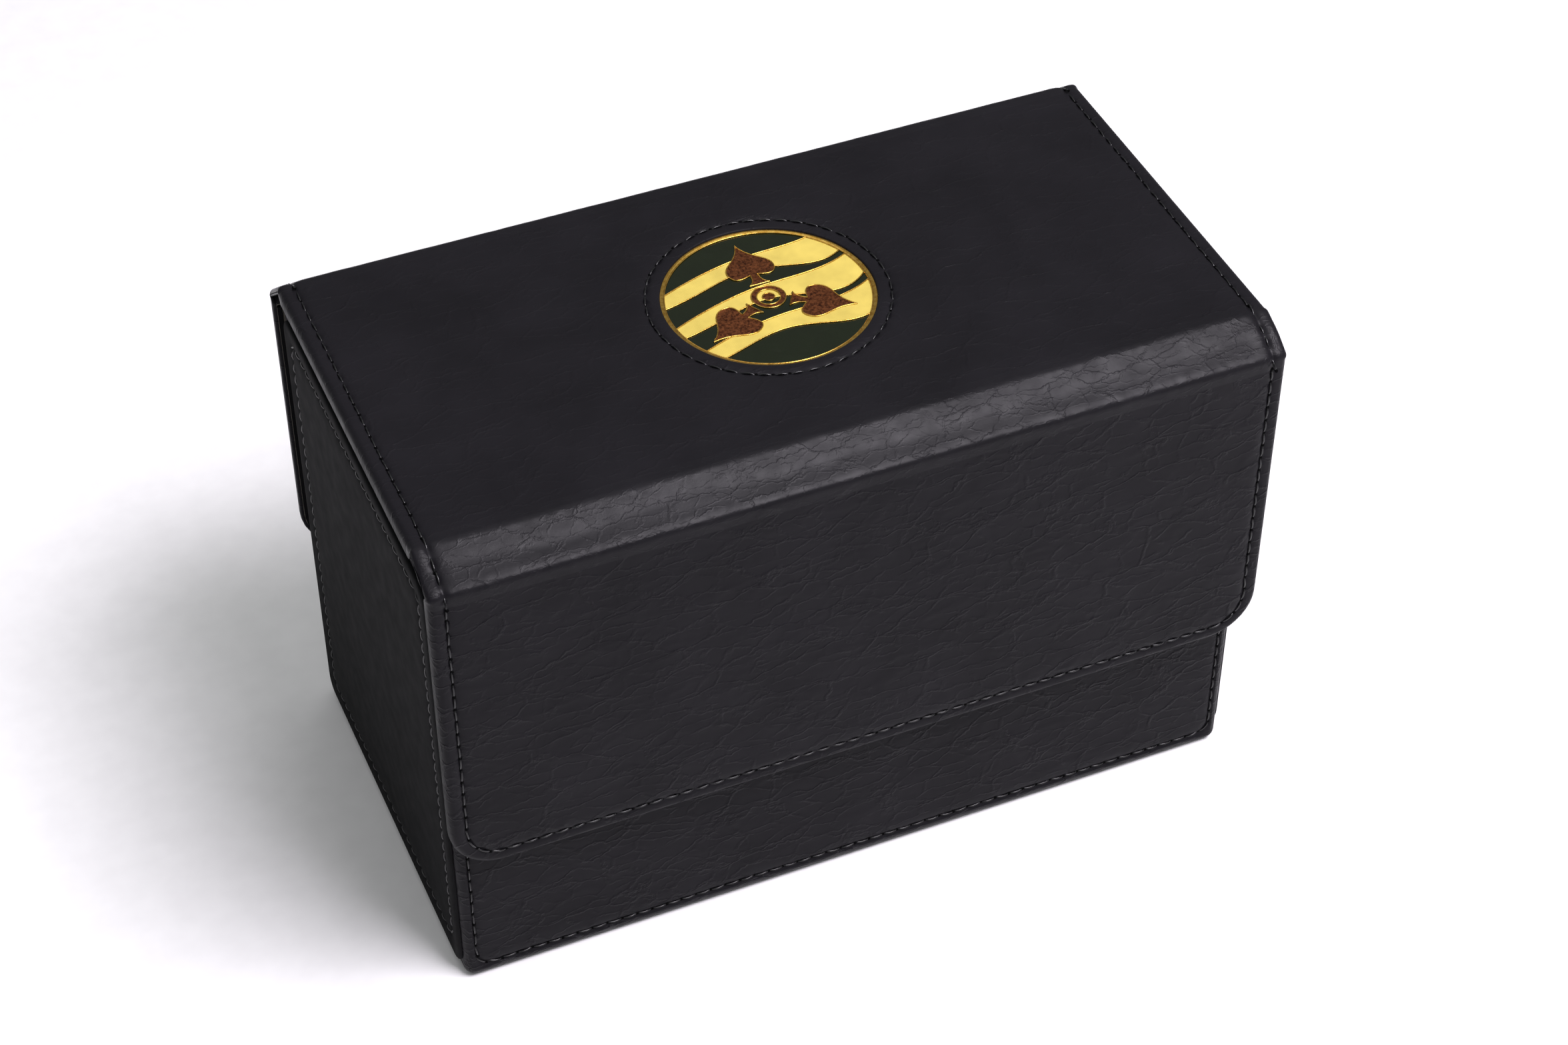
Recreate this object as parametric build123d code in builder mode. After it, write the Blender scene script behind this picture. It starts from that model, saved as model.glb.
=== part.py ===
"""Card deck box: a board body covered in leathercloth, with a wrap-over lid that carries a coin.

Millimetres, +Z up, +X along the length, -Y towards the front. The origin is the centre of
the base, on the face that rests on a table. The lid is one strip: a flap fixed to the back
wall, a soft rear band, the stiff top, a soft front band and the stiff front flap.
"""

from build123d import *
import math
import os

os.makedirs("parts", exist_ok=True)

# ---------------------------------------------------------------- driving sizes
# Body
body_length = 168.0  # over the two side panels
body_depth = 88.6  # front wall to back wall, outside
body_height = 109.5  # table to rim
edge_radius = 2.2  # rounding of the body's outside edges
leather = 0.7  # leathercloth
wall_board = 2.0  # greyboard in the walls and base
lining = 0.4  # suede cloth in the body
base_sheet = 1.0  # leathercloth and its stiffener under the base
base_step = 0.3  # how far the base sheet stands below the wrapped edges
base_sheet_inset = 3.5  # base sheet's edge in from the body's outside
side_panel_inset = 1.8  # side panel's edge in from the body's front and back
side_panel_foot = 2.4  # side panel's lower edge above the table
side_panel_head = 5.5  # side panel's upper edge below the rim
side_panel_radius = 4.0
divider_board = 2.0
divider_head = 8.0  # divider's top below the rim

# Lid
lid_overhang = 1.0  # each side of the body
lid_board = 2.5
lid_lining = 0.5
rim_gap = 0.3  # lid's lining above the rim
lid_edge_radius = 1.2
board_setback = 0.8  # boards end this far short of a crease
front_band_reach = 8.6  # front band, measured back from the flap's face
front_band_drop = 5.0  # front band, measured down from the lid's top
rear_band_reach = 8.0
rear_band_drop = 6.6
band_clearance = 0.25  # between the rear band and the bevelled back rim

# Flaps
flap_board = 2.0
flap_gap = 2.2  # between the front wall and the flap's lining
flap_foot = 37.3  # flap's lower edge above the table
flap_radius = 10.0
back_flap_board = 2.0
back_flap_foot = 40.0
magnet_diameter = 10.0
magnet_thickness = 1.5
magnet_spacing = 104.0
magnet_above_foot = 11.0  # magnets' centres above the flap's lower edge

# Seams: a thread lies in a shallow groove pressed into the leathercloth
seam_width = 0.6
seam_depth = 0.35
seam_inset = 3.1  # from the edge of the lid, the flaps and the front wall
side_seam_inset = 4.4  # from the edge of a side panel
crease_gap = 0.4  # thread stops this far short of a crease

# Coin, centred over the base, held in the lid's board and seen through a round window
coin_diameter = 44.45
coin_fit = 0.2  # gap all round the coin in the board
coin_lap = 1.6  # how far the lid's cover laps over the coin's rim
coin_rim = 2.4  # width of the coin's raised rim
coin_seam_offset = 1.2  # seam's centre line out from the coin's edge
coin_field = 0.5  # depth of the enamelled field below the rim
enamel = 0.38
hub_outer = 3.3
hub_inner = 2.3
hub_gap = 1.0  # between the hub and each spade's foot
spade_margin = 2.9  # between each spade's tip and the rim
spade_fullness = 0.78  # a spade's width over its length
streaks_across = 4.2  # pitches of the pale streaks across the enamelled field
streak_share = 0.49  # a pale streak's width over the streaks' pitch
streak_wave = 1.3

# ---------------------------------------------------------------- worked-out sizes
skin_length = body_length - 2 * leather
core_length = skin_length - 2 * leather
core_depth = body_depth - 2 * leather
core_top = body_height - leather
core_foot = base_sheet
inner_length = core_length - 2 * (wall_board + lining)
inner_depth = core_depth - 2 * (wall_board + lining)
floor_board_top = core_foot + wall_board
floor_top = floor_board_top + lining

lid_length = body_length + 2 * lid_overhang
lid_thickness = leather + lid_board + lid_lining
lid_under = body_height + rim_gap
lid_top = lid_under + lid_thickness
front_face = -body_depth / 2
back_face = body_depth / 2
flap_thickness = leather + flap_board + lid_lining
flap_face = front_face - flap_gap - flap_thickness
back_flap_thickness = leather + back_flap_board
back_flap_face = back_face + back_flap_thickness
band_thickness = leather + lining

front_upper = (flap_face + front_band_reach, lid_top)
front_lower = (flap_face, lid_top - front_band_drop)
rear_upper = (back_flap_face - rear_band_reach, lid_top)
rear_lower = (back_flap_face, lid_top - rear_band_drop)
front_slope = math.atan2(front_band_drop, front_band_reach)
rear_slope = math.atan2(rear_band_drop, rear_band_reach)
front_band_width = math.hypot(front_band_reach, front_band_drop)
rear_band_width = math.hypot(rear_band_reach, rear_band_drop)

window_diameter = coin_diameter - 2 * coin_lap
coin_seam_diameter = coin_diameter + 2 * coin_seam_offset
coin_field_diameter = coin_diameter - 2 * coin_rim
spade_start = hub_outer + hub_gap
spade_length = coin_field_diameter / 2 - spade_start - spade_margin
spade_width = spade_length * spade_fullness
streak_pitch = coin_field_diameter / streaks_across
streak_width = streak_pitch * streak_share

seam_x = lid_length / 2 - seam_inset
wall_seam_x = skin_length / 2 - seam_inset + leather
magnet_height = flap_foot + magnet_above_foot


# ---------------------------------------------------------------- shared outlines
def facing_front(y):
    """Sketch plane at depth y whose extrusions run towards the front."""
    return Plane.XZ.offset(-y)


def below_bevel(depth):
    """Profile of what is cut off the back rim, depth below the rear band's outer face."""
    down = depth / math.cos(rear_slope)
    reach = lid_thickness + body_depth / 4
    rise = reach * math.tan(rear_slope)
    low = (rear_lower[0] + reach, rear_lower[1] - rise - down)
    high = (rear_lower[0] - reach, rear_lower[1] + rise - down)
    Polygon(low, high, (low[0], high[1]), align=None)


def mitred(upper, lower, slope, near, far):
    """Profile of one layer of a band, near and far being its depths from the outer face."""
    sign = 1 if lower[0] > upper[0] else -1
    along = (sign * math.cos(slope), -math.sin(slope))
    inward = (-sign * math.sin(slope), -math.cos(slope))
    at_top = math.tan(slope / 2)
    at_flap = math.tan((math.pi / 2 - slope) / 2)

    def corner(point, depth, shift):
        return (
            point[0] + depth * inward[0] + shift * along[0],
            point[1] + depth * inward[1] + shift * along[1],
        )

    Polygon(
        corner(upper, near, near * at_top),
        corner(lower, near, -near * at_flap),
        corner(lower, far, -far * at_flap),
        corner(upper, far, far * at_top),
        align=None,
    )


def panel_outline(half, foot, head, radius):
    """A panel's outline seen from the front, its two lower corners rounded."""
    with BuildLine() as outline:
        FilletPolyline((-half, head), (-half, foot), (half, foot), (half, head), radius=radius)
        Line((half, head), (-half, head))
    make_face(outline.edges())


def u_seam(half, foot, head, radius):
    """A seam down one side, across the foot and up the other side."""
    with BuildLine() as row:
        FilletPolyline((-half, head), (-half, foot), (half, foot), (half, head), radius=radius)
    trace(row.line, line_width=seam_width)


def flap_cover_head(point, slope, inward):
    """Profile above a flap's mitred head, inward being +1 towards +Y and -1 towards -Y."""
    fall = math.tan((math.pi / 2 - slope) / 2)
    reach = 3 * lid_thickness
    Polygon(
        point,
        (point[0] + inward * reach, point[1] - fall * reach),
        (point[0] + inward * reach, point[1] + reach),
        (point[0] - inward * reach, point[1] + reach),
        (point[0] - inward * reach, point[1] + fall * reach),
        align=None,
    )


# ---------------------------------------------------------------- body: boards
with BuildPart() as core:
    with Locations((0, 0, core_foot)):
        Box(
            core_length,
            core_depth,
            core_top - core_foot,
            align=(Align.CENTER, Align.CENTER, Align.MIN),
        )
    upright = core.edges().filter_by(Axis.Z)
    fillet(upright, edge_radius - leather)
    fillet(core.faces().sort_by(Axis.Z)[0].edges(), edge_radius - leather)
    with BuildSketch(Plane.YZ):
        below_bevel(band_thickness + band_clearance + leather)
    extrude(amount=core_length, both=True, mode=Mode.SUBTRACT)

with BuildPart() as front_board:
    with BuildSketch(facing_front(-core_depth / 2 + wall_board)):
        with Locations((0, (core_foot + core_top) / 2)):
            Rectangle(core_length, core_top - core_foot)
    extrude(amount=wall_board)
    add(core.part, mode=Mode.INTERSECT)
    with BuildSketch(facing_front(-core_depth / 2)):
        with Locations((0, magnet_height)):
            with GridLocations(magnet_spacing, 1, 2, 1):
                Circle(magnet_diameter / 2)
    extrude(amount=-magnet_thickness, mode=Mode.SUBTRACT)
front_board.part.label = "front_board"
export_step(front_board.part, "parts/front_board.step")

with BuildPart() as back_board:
    with BuildSketch(facing_front(core_depth / 2)):
        with Locations((0, (core_foot + core_top) / 2)):
            Rectangle(core_length, core_top - core_foot)
    extrude(amount=wall_board)
    add(core.part, mode=Mode.INTERSECT)
back_board.part.label = "back_board"
export_step(back_board.part, "parts/back_board.step")

side_board_depth = core_depth - 2 * wall_board
with BuildPart() as left_board:
    with Locations((-core_length / 2, 0, core_foot)):
        Box(
            wall_board,
            side_board_depth,
            core_top - core_foot,
            align=(Align.MIN, Align.CENTER, Align.MIN),
        )
    add(core.part, mode=Mode.INTERSECT)
left_board.part.label = "left_board"
export_step(left_board.part, "parts/left_board.step")

with BuildPart() as right_board:
    add(left_board.part)
    mirror(about=Plane.YZ, mode=Mode.REPLACE)
right_board.part.label = "right_board"
export_step(right_board.part, "parts/right_board.step")

with BuildPart() as base_board:
    with Locations((0, 0, core_foot)):
        Box(
            core_length - 2 * wall_board,
            side_board_depth,
            wall_board,
            align=(Align.CENTER, Align.CENTER, Align.MIN),
        )
base_board.part.label = "base_board"
export_step(base_board.part, "parts/base_board.step")

# ---------------------------------------------------------------- body: leathercloth
base_sheet_length = skin_length - 2 * base_sheet_inset
base_sheet_depth = body_depth - 2 * base_sheet_inset
wall_seam_foot = base_step + seam_inset
wall_seam_head = core_top - seam_inset

with BuildPart() as body_wrap:
    with Locations((0, 0, base_step)):
        Box(
            skin_length,
            body_depth,
            body_height - base_step,
            align=(Align.CENTER, Align.CENTER, Align.MIN),
        )
    fillet(body_wrap.edges().filter_by(Axis.Z), edge_radius)
    fillet(body_wrap.faces().sort_by(Axis.Z)[0].edges(), edge_radius)
    with BuildSketch(Plane.YZ):
        below_bevel(band_thickness + band_clearance)
    extrude(amount=body_length, both=True, mode=Mode.SUBTRACT)
    add(core.part, mode=Mode.SUBTRACT)
    with BuildSketch(Plane.XY.offset(core_top / 2)):
        Rectangle(inner_length, inner_depth)
    extrude(amount=body_height, mode=Mode.SUBTRACT)
    with BuildSketch(Plane.XY):
        RectangleRounded(base_sheet_length, base_sheet_depth, base_sheet_inset)
    extrude(amount=core_foot, mode=Mode.SUBTRACT)
    with BuildSketch(facing_front(front_face)):
        u_seam(wall_seam_x, wall_seam_foot, wall_seam_head, seam_inset)
    extrude(amount=-seam_depth, mode=Mode.SUBTRACT)
    with BuildSketch(facing_front(back_face)):
        u_seam(wall_seam_x, wall_seam_foot, back_flap_foot - crease_gap, seam_inset)
    extrude(amount=seam_depth, mode=Mode.SUBTRACT)
body_wrap.part.label = "body_wrap"
export_step(body_wrap.part, "parts/body_wrap.step")

with BuildPart() as front_wall_thread:
    with BuildSketch(facing_front(front_face)):
        u_seam(wall_seam_x, wall_seam_foot, wall_seam_head, seam_inset)
    extrude(amount=-seam_depth)
front_wall_thread.part.label = "front_wall_thread"
export_step(front_wall_thread.part, "parts/front_wall_thread.step")

with BuildPart() as back_wall_thread:
    with BuildSketch(facing_front(back_face)):
        u_seam(wall_seam_x, wall_seam_foot, back_flap_foot - crease_gap, seam_inset)
    extrude(amount=seam_depth)
back_wall_thread.part.label = "back_wall_thread"
export_step(back_wall_thread.part, "parts/back_wall_thread.step")

with BuildPart() as base_cover:
    with BuildSketch(Plane.XY):
        RectangleRounded(base_sheet_length, base_sheet_depth, base_sheet_inset)
    extrude(amount=base_sheet)
base_cover.part.label = "base_cover"
export_step(base_cover.part, "parts/base_cover.step")

side_panel_depth = body_depth - 2 * side_panel_inset
side_panel_height = body_height - side_panel_head - side_panel_foot
side_panel_middle = side_panel_foot + side_panel_height / 2
side_seam_radius = side_panel_radius - side_seam_inset / 2


def side_seam_ring():
    """The seam that runs all round a side panel, as a thin rounded frame."""
    depth = side_panel_depth - 2 * side_seam_inset
    height = side_panel_height - 2 * side_seam_inset
    half = seam_width / 2
    with Locations((0, side_panel_middle)):
        RectangleRounded(depth + seam_width, height + seam_width, side_seam_radius + half)
        RectangleRounded(
            depth - seam_width,
            height - seam_width,
            side_seam_radius - half,
            mode=Mode.SUBTRACT,
        )


with BuildPart() as left_side_cover:
    with BuildSketch(Plane.YZ.offset(-body_length / 2)):
        with Locations((0, side_panel_middle)):
            RectangleRounded(side_panel_depth, side_panel_height, side_panel_radius)
    extrude(amount=leather)
    with BuildSketch(Plane.YZ.offset(-body_length / 2)):
        side_seam_ring()
    extrude(amount=seam_depth, mode=Mode.SUBTRACT)
left_side_cover.part.label = "left_side_cover"
export_step(left_side_cover.part, "parts/left_side_cover.step")

with BuildPart() as right_side_cover:
    add(left_side_cover.part)
    mirror(about=Plane.YZ, mode=Mode.REPLACE)
right_side_cover.part.label = "right_side_cover"
export_step(right_side_cover.part, "parts/right_side_cover.step")

with BuildPart() as left_side_thread:
    with BuildSketch(Plane.YZ.offset(-body_length / 2)):
        side_seam_ring()
    extrude(amount=seam_depth)
left_side_thread.part.label = "left_side_thread"
export_step(left_side_thread.part, "parts/left_side_thread.step")

with BuildPart() as right_side_thread:
    add(left_side_thread.part)
    mirror(about=Plane.YZ, mode=Mode.REPLACE)
right_side_thread.part.label = "right_side_thread"
export_step(right_side_thread.part, "parts/right_side_thread.step")

# ---------------------------------------------------------------- body: lining and divider
lining_height = core_top - floor_board_top
with BuildPart() as front_lining:
    with BuildSketch(facing_front(-inner_depth / 2)):
        with Locations((0, floor_board_top + lining_height / 2)):
            Rectangle(inner_length + 2 * lining, lining_height)
    extrude(amount=lining)
front_lining.part.label = "front_lining"
export_step(front_lining.part, "parts/front_lining.step")

with BuildPart() as back_lining:
    with BuildSketch(facing_front(inner_depth / 2)):
        with Locations((0, floor_board_top + lining_height / 2)):
            Rectangle(inner_length + 2 * lining, lining_height)
    extrude(amount=-lining)
    add(core.part, mode=Mode.INTERSECT)
back_lining.part.label = "back_lining"
export_step(back_lining.part, "parts/back_lining.step")

with BuildPart() as left_lining:
    with Locations((-inner_length / 2, 0, floor_board_top)):
        Box(lining, inner_depth, lining_height, align=(Align.MAX, Align.CENTER, Align.MIN))
left_lining.part.label = "left_lining"
export_step(left_lining.part, "parts/left_lining.step")

with BuildPart() as right_lining:
    add(left_lining.part)
    mirror(about=Plane.YZ, mode=Mode.REPLACE)
right_lining.part.label = "right_lining"
export_step(right_lining.part, "parts/right_lining.step")

with BuildPart() as floor_lining:
    with Locations((0, 0, floor_board_top)):
        Box(inner_length, inner_depth, lining, align=(Align.CENTER, Align.CENTER, Align.MIN))
floor_lining.part.label = "floor_lining"
export_step(floor_lining.part, "parts/floor_lining.step")

divider_top = body_height - divider_head
with BuildPart() as divider:
    with Locations((0, 0, floor_top)):
        Box(
            divider_board,
            inner_depth,
            divider_top - lining - floor_top,
            align=(Align.CENTER, Align.CENTER, Align.MIN),
        )
divider.part.label = "divider"
export_step(divider.part, "parts/divider.step")

with BuildPart() as divider_lining:
    with Locations((0, 0, floor_top)):
        Box(
            divider_board + 2 * lining,
            inner_depth,
            divider_top - floor_top,
            align=(Align.CENTER, Align.CENTER, Align.MIN),
        )
    fillet(divider_lining.faces().sort_by(Axis.Z)[-1].edges().filter_by(Axis.Y), lining)
    add(divider.part, mode=Mode.SUBTRACT)
divider_lining.part.label = "divider_lining"
export_step(divider_lining.part, "parts/divider_lining.step")

with BuildPart() as body_magnets:
    with BuildSketch(facing_front(-core_depth / 2)):
        with Locations((0, magnet_height)):
            with GridLocations(magnet_spacing, 1, 2, 1):
                Circle(magnet_diameter / 2)
    extrude(amount=-magnet_thickness)
body_magnets.part.label = "body_magnets"
export_step(body_magnets.part, "parts/body_magnets.step")

# ---------------------------------------------------------------- back flap, fixed to the back wall
board_half = lid_length / 2 - leather
back_seam_head = rear_lower[1] - crease_gap
with BuildPart() as back_flap_cover:
    with BuildSketch(facing_front(back_flap_face)):
        panel_outline(lid_length / 2, back_flap_foot, lid_top, flap_radius)
    extrude(amount=back_flap_thickness)
    outer = back_flap_cover.faces().sort_by(Axis.Y)[-1]
    fillet(outer.edges() - outer.edges().group_by(Axis.Z)[-1], lid_edge_radius)
    with BuildSketch(facing_front(back_face)):
        panel_outline(board_half, back_flap_foot + leather, lid_top + leather, flap_radius - leather)
    extrude(amount=-back_flap_board, mode=Mode.SUBTRACT)
    with BuildSketch(Plane.YZ):
        flap_cover_head(rear_lower, rear_slope, -1)
    extrude(amount=lid_length, both=True, mode=Mode.SUBTRACT)
    with BuildSketch(facing_front(back_flap_face)):
        u_seam(seam_x, back_flap_foot + seam_inset, back_seam_head, flap_radius - seam_inset)
    extrude(amount=seam_depth, mode=Mode.SUBTRACT)
back_flap_cover.part.label = "back_flap_cover"
export_step(back_flap_cover.part, "parts/back_flap_cover.step")

with BuildPart() as back_flap_thread:
    with BuildSketch(facing_front(back_flap_face)):
        u_seam(seam_x, back_flap_foot + seam_inset, back_seam_head, flap_radius - seam_inset)
    extrude(amount=seam_depth)
back_flap_thread.part.label = "back_flap_thread"
export_step(back_flap_thread.part, "parts/back_flap_thread.step")

back_board_head = rear_lower[1] - board_setback - back_flap_thickness * math.tan(
    (math.pi / 2 - rear_slope) / 2
)
with BuildPart() as back_flap_stiffener:
    with BuildSketch(facing_front(back_face)):
        panel_outline(board_half, back_flap_foot + leather, back_board_head, flap_radius - leather)
    extrude(amount=-back_flap_board)
back_flap_stiffener.part.label = "back_flap_board"
export_step(back_flap_stiffener.part, "parts/back_flap_board.step")


# ---------------------------------------------------------------- bands
def band_seams(width):
    """The two seam runs across a band, drawn on its outer face."""
    for x in (-seam_x, seam_x):
        with Locations((x, -width / 2)):
            Rectangle(seam_width, width - 2 * crease_gap)


def band_plane(upper, slope, facing):
    """Plane on a band's outer face, from its upper crease, local -Y running down the band."""
    outward = (0, facing * math.sin(slope), math.cos(slope))
    return Plane(origin=(0, upper[0], upper[1]), x_dir=(-facing, 0, 0), z_dir=outward)


with BuildPart() as rear_hinge_band:
    with BuildSketch(Plane.YZ):
        mitred(rear_upper, rear_lower, rear_slope, 0, leather)
    extrude(amount=lid_length / 2, both=True)
    with BuildSketch(band_plane(rear_upper, rear_slope, 1)):
        band_seams(rear_band_width)
    extrude(amount=-seam_depth, mode=Mode.SUBTRACT)
rear_hinge_band.part.label = "rear_hinge_band"
export_step(rear_hinge_band.part, "parts/rear_hinge_band.step")

with BuildPart() as rear_hinge_lining:
    with BuildSketch(Plane.YZ):
        mitred(rear_upper, rear_lower, rear_slope, leather, band_thickness)
    extrude(amount=board_half, both=True)
rear_hinge_lining.part.label = "rear_hinge_lining"
export_step(rear_hinge_lining.part, "parts/rear_hinge_lining.step")

with BuildPart() as rear_band_thread:
    with BuildSketch(band_plane(rear_upper, rear_slope, 1)):
        band_seams(rear_band_width)
    extrude(amount=-seam_depth)
rear_band_thread.part.label = "rear_band_thread"
export_step(rear_band_thread.part, "parts/rear_band_thread.step")

with BuildPart() as front_hinge_band:
    with BuildSketch(Plane.YZ):
        mitred(front_upper, front_lower, front_slope, 0, leather)
    extrude(amount=lid_length / 2, both=True)
    with BuildSketch(band_plane(front_upper, front_slope, -1)):
        band_seams(front_band_width)
    extrude(amount=-seam_depth, mode=Mode.SUBTRACT)
front_hinge_band.part.label = "front_hinge_band"
export_step(front_hinge_band.part, "parts/front_hinge_band.step")

with BuildPart() as front_hinge_lining:
    with BuildSketch(Plane.YZ):
        mitred(front_upper, front_lower, front_slope, leather, band_thickness)
    extrude(amount=board_half, both=True)
front_hinge_lining.part.label = "front_hinge_lining"
export_step(front_hinge_lining.part, "parts/front_hinge_lining.step")

with BuildPart() as front_band_thread:
    with BuildSketch(band_plane(front_upper, front_slope, -1)):
        band_seams(front_band_width)
    extrude(amount=-seam_depth)
front_band_thread.part.label = "front_band_thread"
export_step(front_band_thread.part, "parts/front_band_thread.step")

# ---------------------------------------------------------------- lid's stiff top
front_mitre = math.tan(front_slope / 2)
rear_mitre = math.tan(rear_slope / 2)
board_front = front_upper[0] + board_setback + lid_thickness * front_mitre
board_rear = rear_upper[0] - board_setback - lid_thickness * rear_mitre
seam_front = front_upper[0] + crease_gap
seam_rear = rear_upper[0] - crease_gap


def lid_seams():
    """The straight seams along the two ends of the lid's top."""
    with Locations((0, (seam_front + seam_rear) / 2)):
        with GridLocations(2 * seam_x, 1, 2, 1):
            Rectangle(seam_width, seam_rear - seam_front)


def coin_seam():
    """The round seam outside the coin's window."""
    Circle(coin_seam_diameter / 2 + seam_width / 2)
    Circle(coin_seam_diameter / 2 - seam_width / 2, mode=Mode.SUBTRACT)


with BuildPart() as lid_cover:
    with BuildSketch(Plane.YZ):
        Polygon(
            front_upper,
            rear_upper,
            (rear_upper[0] - lid_thickness * rear_mitre, lid_under),
            (front_upper[0] + lid_thickness * front_mitre, lid_under),
            align=None,
        )
    extrude(amount=lid_length / 2, both=True)
    top_edges = lid_cover.faces().sort_by(Axis.Z)[-1].edges().filter_by(Axis.Y)
    fillet(top_edges, lid_edge_radius)
    with BuildSketch(Plane.XY.offset(lid_under)):
        Rectangle(2 * board_half, 2 * body_depth)
    extrude(amount=lid_thickness - leather, mode=Mode.SUBTRACT)
    with BuildSketch(Plane.XY.offset(lid_top)):
        Circle(window_diameter / 2)
    extrude(amount=-leather, mode=Mode.SUBTRACT)
    with BuildSketch(Plane.XY.offset(lid_top)):
        lid_seams()
        coin_seam()
    extrude(amount=-seam_depth, mode=Mode.SUBTRACT)
lid_cover.part.label = "lid_cover"
export_step(lid_cover.part, "parts/lid_cover.step")

with BuildPart() as lid_stiffener:
    with BuildSketch(Plane.XY.offset(lid_under + lid_lining)):
        with Locations((0, (board_front + board_rear) / 2)):
            Rectangle(2 * board_half, board_rear - board_front)
        Circle(coin_diameter / 2 + coin_fit, mode=Mode.SUBTRACT)
    extrude(amount=lid_board)
lid_stiffener.part.label = "lid_board"
export_step(lid_stiffener.part, "parts/lid_board.step")

with BuildPart() as lid_lining_sheet:
    with BuildSketch(Plane.XY.offset(lid_under)):
        with Locations((0, (board_front + board_rear) / 2)):
            Rectangle(2 * board_half, board_rear - board_front)
    extrude(amount=lid_lining)
lid_lining_sheet.part.label = "lid_lining"
export_step(lid_lining_sheet.part, "parts/lid_lining.step")

with BuildPart() as lid_thread:
    with BuildSketch(Plane.XY.offset(lid_top)):
        lid_seams()
    extrude(amount=-seam_depth)
lid_thread.part.label = "lid_thread"
export_step(lid_thread.part, "parts/lid_thread.step")

with BuildPart() as coin_seam_thread:
    with BuildSketch(Plane.XY.offset(lid_top)):
        coin_seam()
    extrude(amount=-seam_depth)
coin_seam_thread.part.label = "coin_seam_thread"
export_step(coin_seam_thread.part, "parts/coin_seam_thread.step")

# ---------------------------------------------------------------- coin
coin_top = lid_top - leather
field_floor = coin_top - coin_field

# A spade lies along +X from its foot, its points being shares of its length and half width.
half_spade = spade_width / 2
with BuildSketch() as spade:
    with BuildLine():
        Spline(
            (spade_length, 0),
            (spade_length * 0.66, half_spade * 0.50),
            (spade_length * 0.40, half_spade * 0.96),
            (spade_length * 0.22, half_spade * 0.80),
            (spade_length * 0.24, half_spade * 0.14),
            tangents=((-1, 0.25), (0.35, -1)),
        )
        Spline(
            (spade_length * 0.24, half_spade * 0.14),
            (spade_length * 0.08, half_spade * 0.22),
            (0, half_spade * 0.42),
            tangents=((-1, 0.1), (-0.5, 1)),
        )
        Line((0, half_spade * 0.42), (0, 0))
        mirror(about=Plane.XZ)
    make_face()

with BuildSketch() as emblem:
    with PolarLocations(spade_start, 3, start_angle=90):
        add(spade.sketch)
    Circle(hub_outer)
    Circle(hub_inner, mode=Mode.SUBTRACT)
    Circle(hub_inner / 2)


def streak(middle):
    """One wavy streak across the coin, rising to the right."""
    half = streak_width / 2
    reach = coin_diameter / 2
    with BuildLine() as outline:
        upper = Spline(
            (-reach, middle + half - streak_wave - reach * 0.2),
            (-reach * 0.5, middle + half * 0.5),
            (0, middle + half + streak_wave),
            (reach * 0.5, middle + half * 0.7 + reach * 0.12),
            (reach, middle + half + reach * 0.3),
        )
        lower = Spline(
            (-reach, middle - half - streak_wave - reach * 0.1),
            (-reach * 0.45, middle - half - streak_wave * 0.4),
            (0, middle - half * 0.2),
            (reach * 0.55, middle - half - streak_wave * 0.5),
            (reach, middle - half + reach * 0.25),
        )
        Line(upper @ 0, lower @ 0)
        Line(upper @ 1, lower @ 1)
    make_face(outline.edges())


with BuildSketch() as pale_streaks:
    for step in (-1, 0, 1):
        streak(step * streak_pitch)
    Circle(coin_field_diameter / 2, mode=Mode.INTERSECT)

with BuildPart() as coin:
    with BuildSketch(Plane.XY.offset(coin_top - lid_board)):
        Circle(coin_diameter / 2)
    extrude(amount=lid_board - coin_field)
    with BuildSketch(Plane.XY.offset(field_floor)):
        Circle(coin_diameter / 2)
        Circle(coin_field_diameter / 2, mode=Mode.SUBTRACT)
    extrude(amount=coin_field)
    with BuildSketch(Plane.XY.offset(field_floor)):
        add(emblem.sketch)
    extrude(amount=coin_field)
coin.part.label = "coin"
export_step(coin.part, "parts/coin.step")

with BuildPart() as coin_enamel_pale:
    with BuildSketch(Plane.XY.offset(field_floor)):
        add(pale_streaks.sketch)
        add(emblem.sketch, mode=Mode.SUBTRACT)
    extrude(amount=enamel)
coin_enamel_pale.part.label = "coin_enamel_pale"
export_step(coin_enamel_pale.part, "parts/coin_enamel_pale.step")

with BuildPart() as coin_enamel_dark:
    with BuildSketch(Plane.XY.offset(field_floor)):
        Circle(coin_field_diameter / 2)
        add(pale_streaks.sketch, mode=Mode.SUBTRACT)
        add(emblem.sketch, mode=Mode.SUBTRACT)
    extrude(amount=enamel)
coin_enamel_dark.part.label = "coin_enamel_dark"
export_step(coin_enamel_dark.part, "parts/coin_enamel_dark.step")

# ---------------------------------------------------------------- front flap
flap_inner = flap_face + flap_thickness
flap_seam_head = front_lower[1] - crease_gap
with BuildPart() as flap_cover:
    with BuildSketch(facing_front(flap_inner)):
        panel_outline(lid_length / 2, flap_foot, lid_top, flap_radius)
    extrude(amount=flap_thickness)
    outer = flap_cover.faces().sort_by(Axis.Y)[0]
    fillet(outer.edges() - outer.edges().group_by(Axis.Z)[-1], lid_edge_radius)
    with BuildSketch(facing_front(flap_inner)):
        panel_outline(board_half, flap_foot + leather, lid_top + leather, flap_radius - leather)
    extrude(amount=flap_thickness - leather, mode=Mode.SUBTRACT)
    with BuildSketch(Plane.YZ):
        flap_cover_head(front_lower, front_slope, 1)
    extrude(amount=lid_length, both=True, mode=Mode.SUBTRACT)
    with BuildSketch(facing_front(flap_face)):
        u_seam(seam_x, flap_foot + seam_inset, flap_seam_head, flap_radius - seam_inset)
    extrude(amount=-seam_depth, mode=Mode.SUBTRACT)
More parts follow.
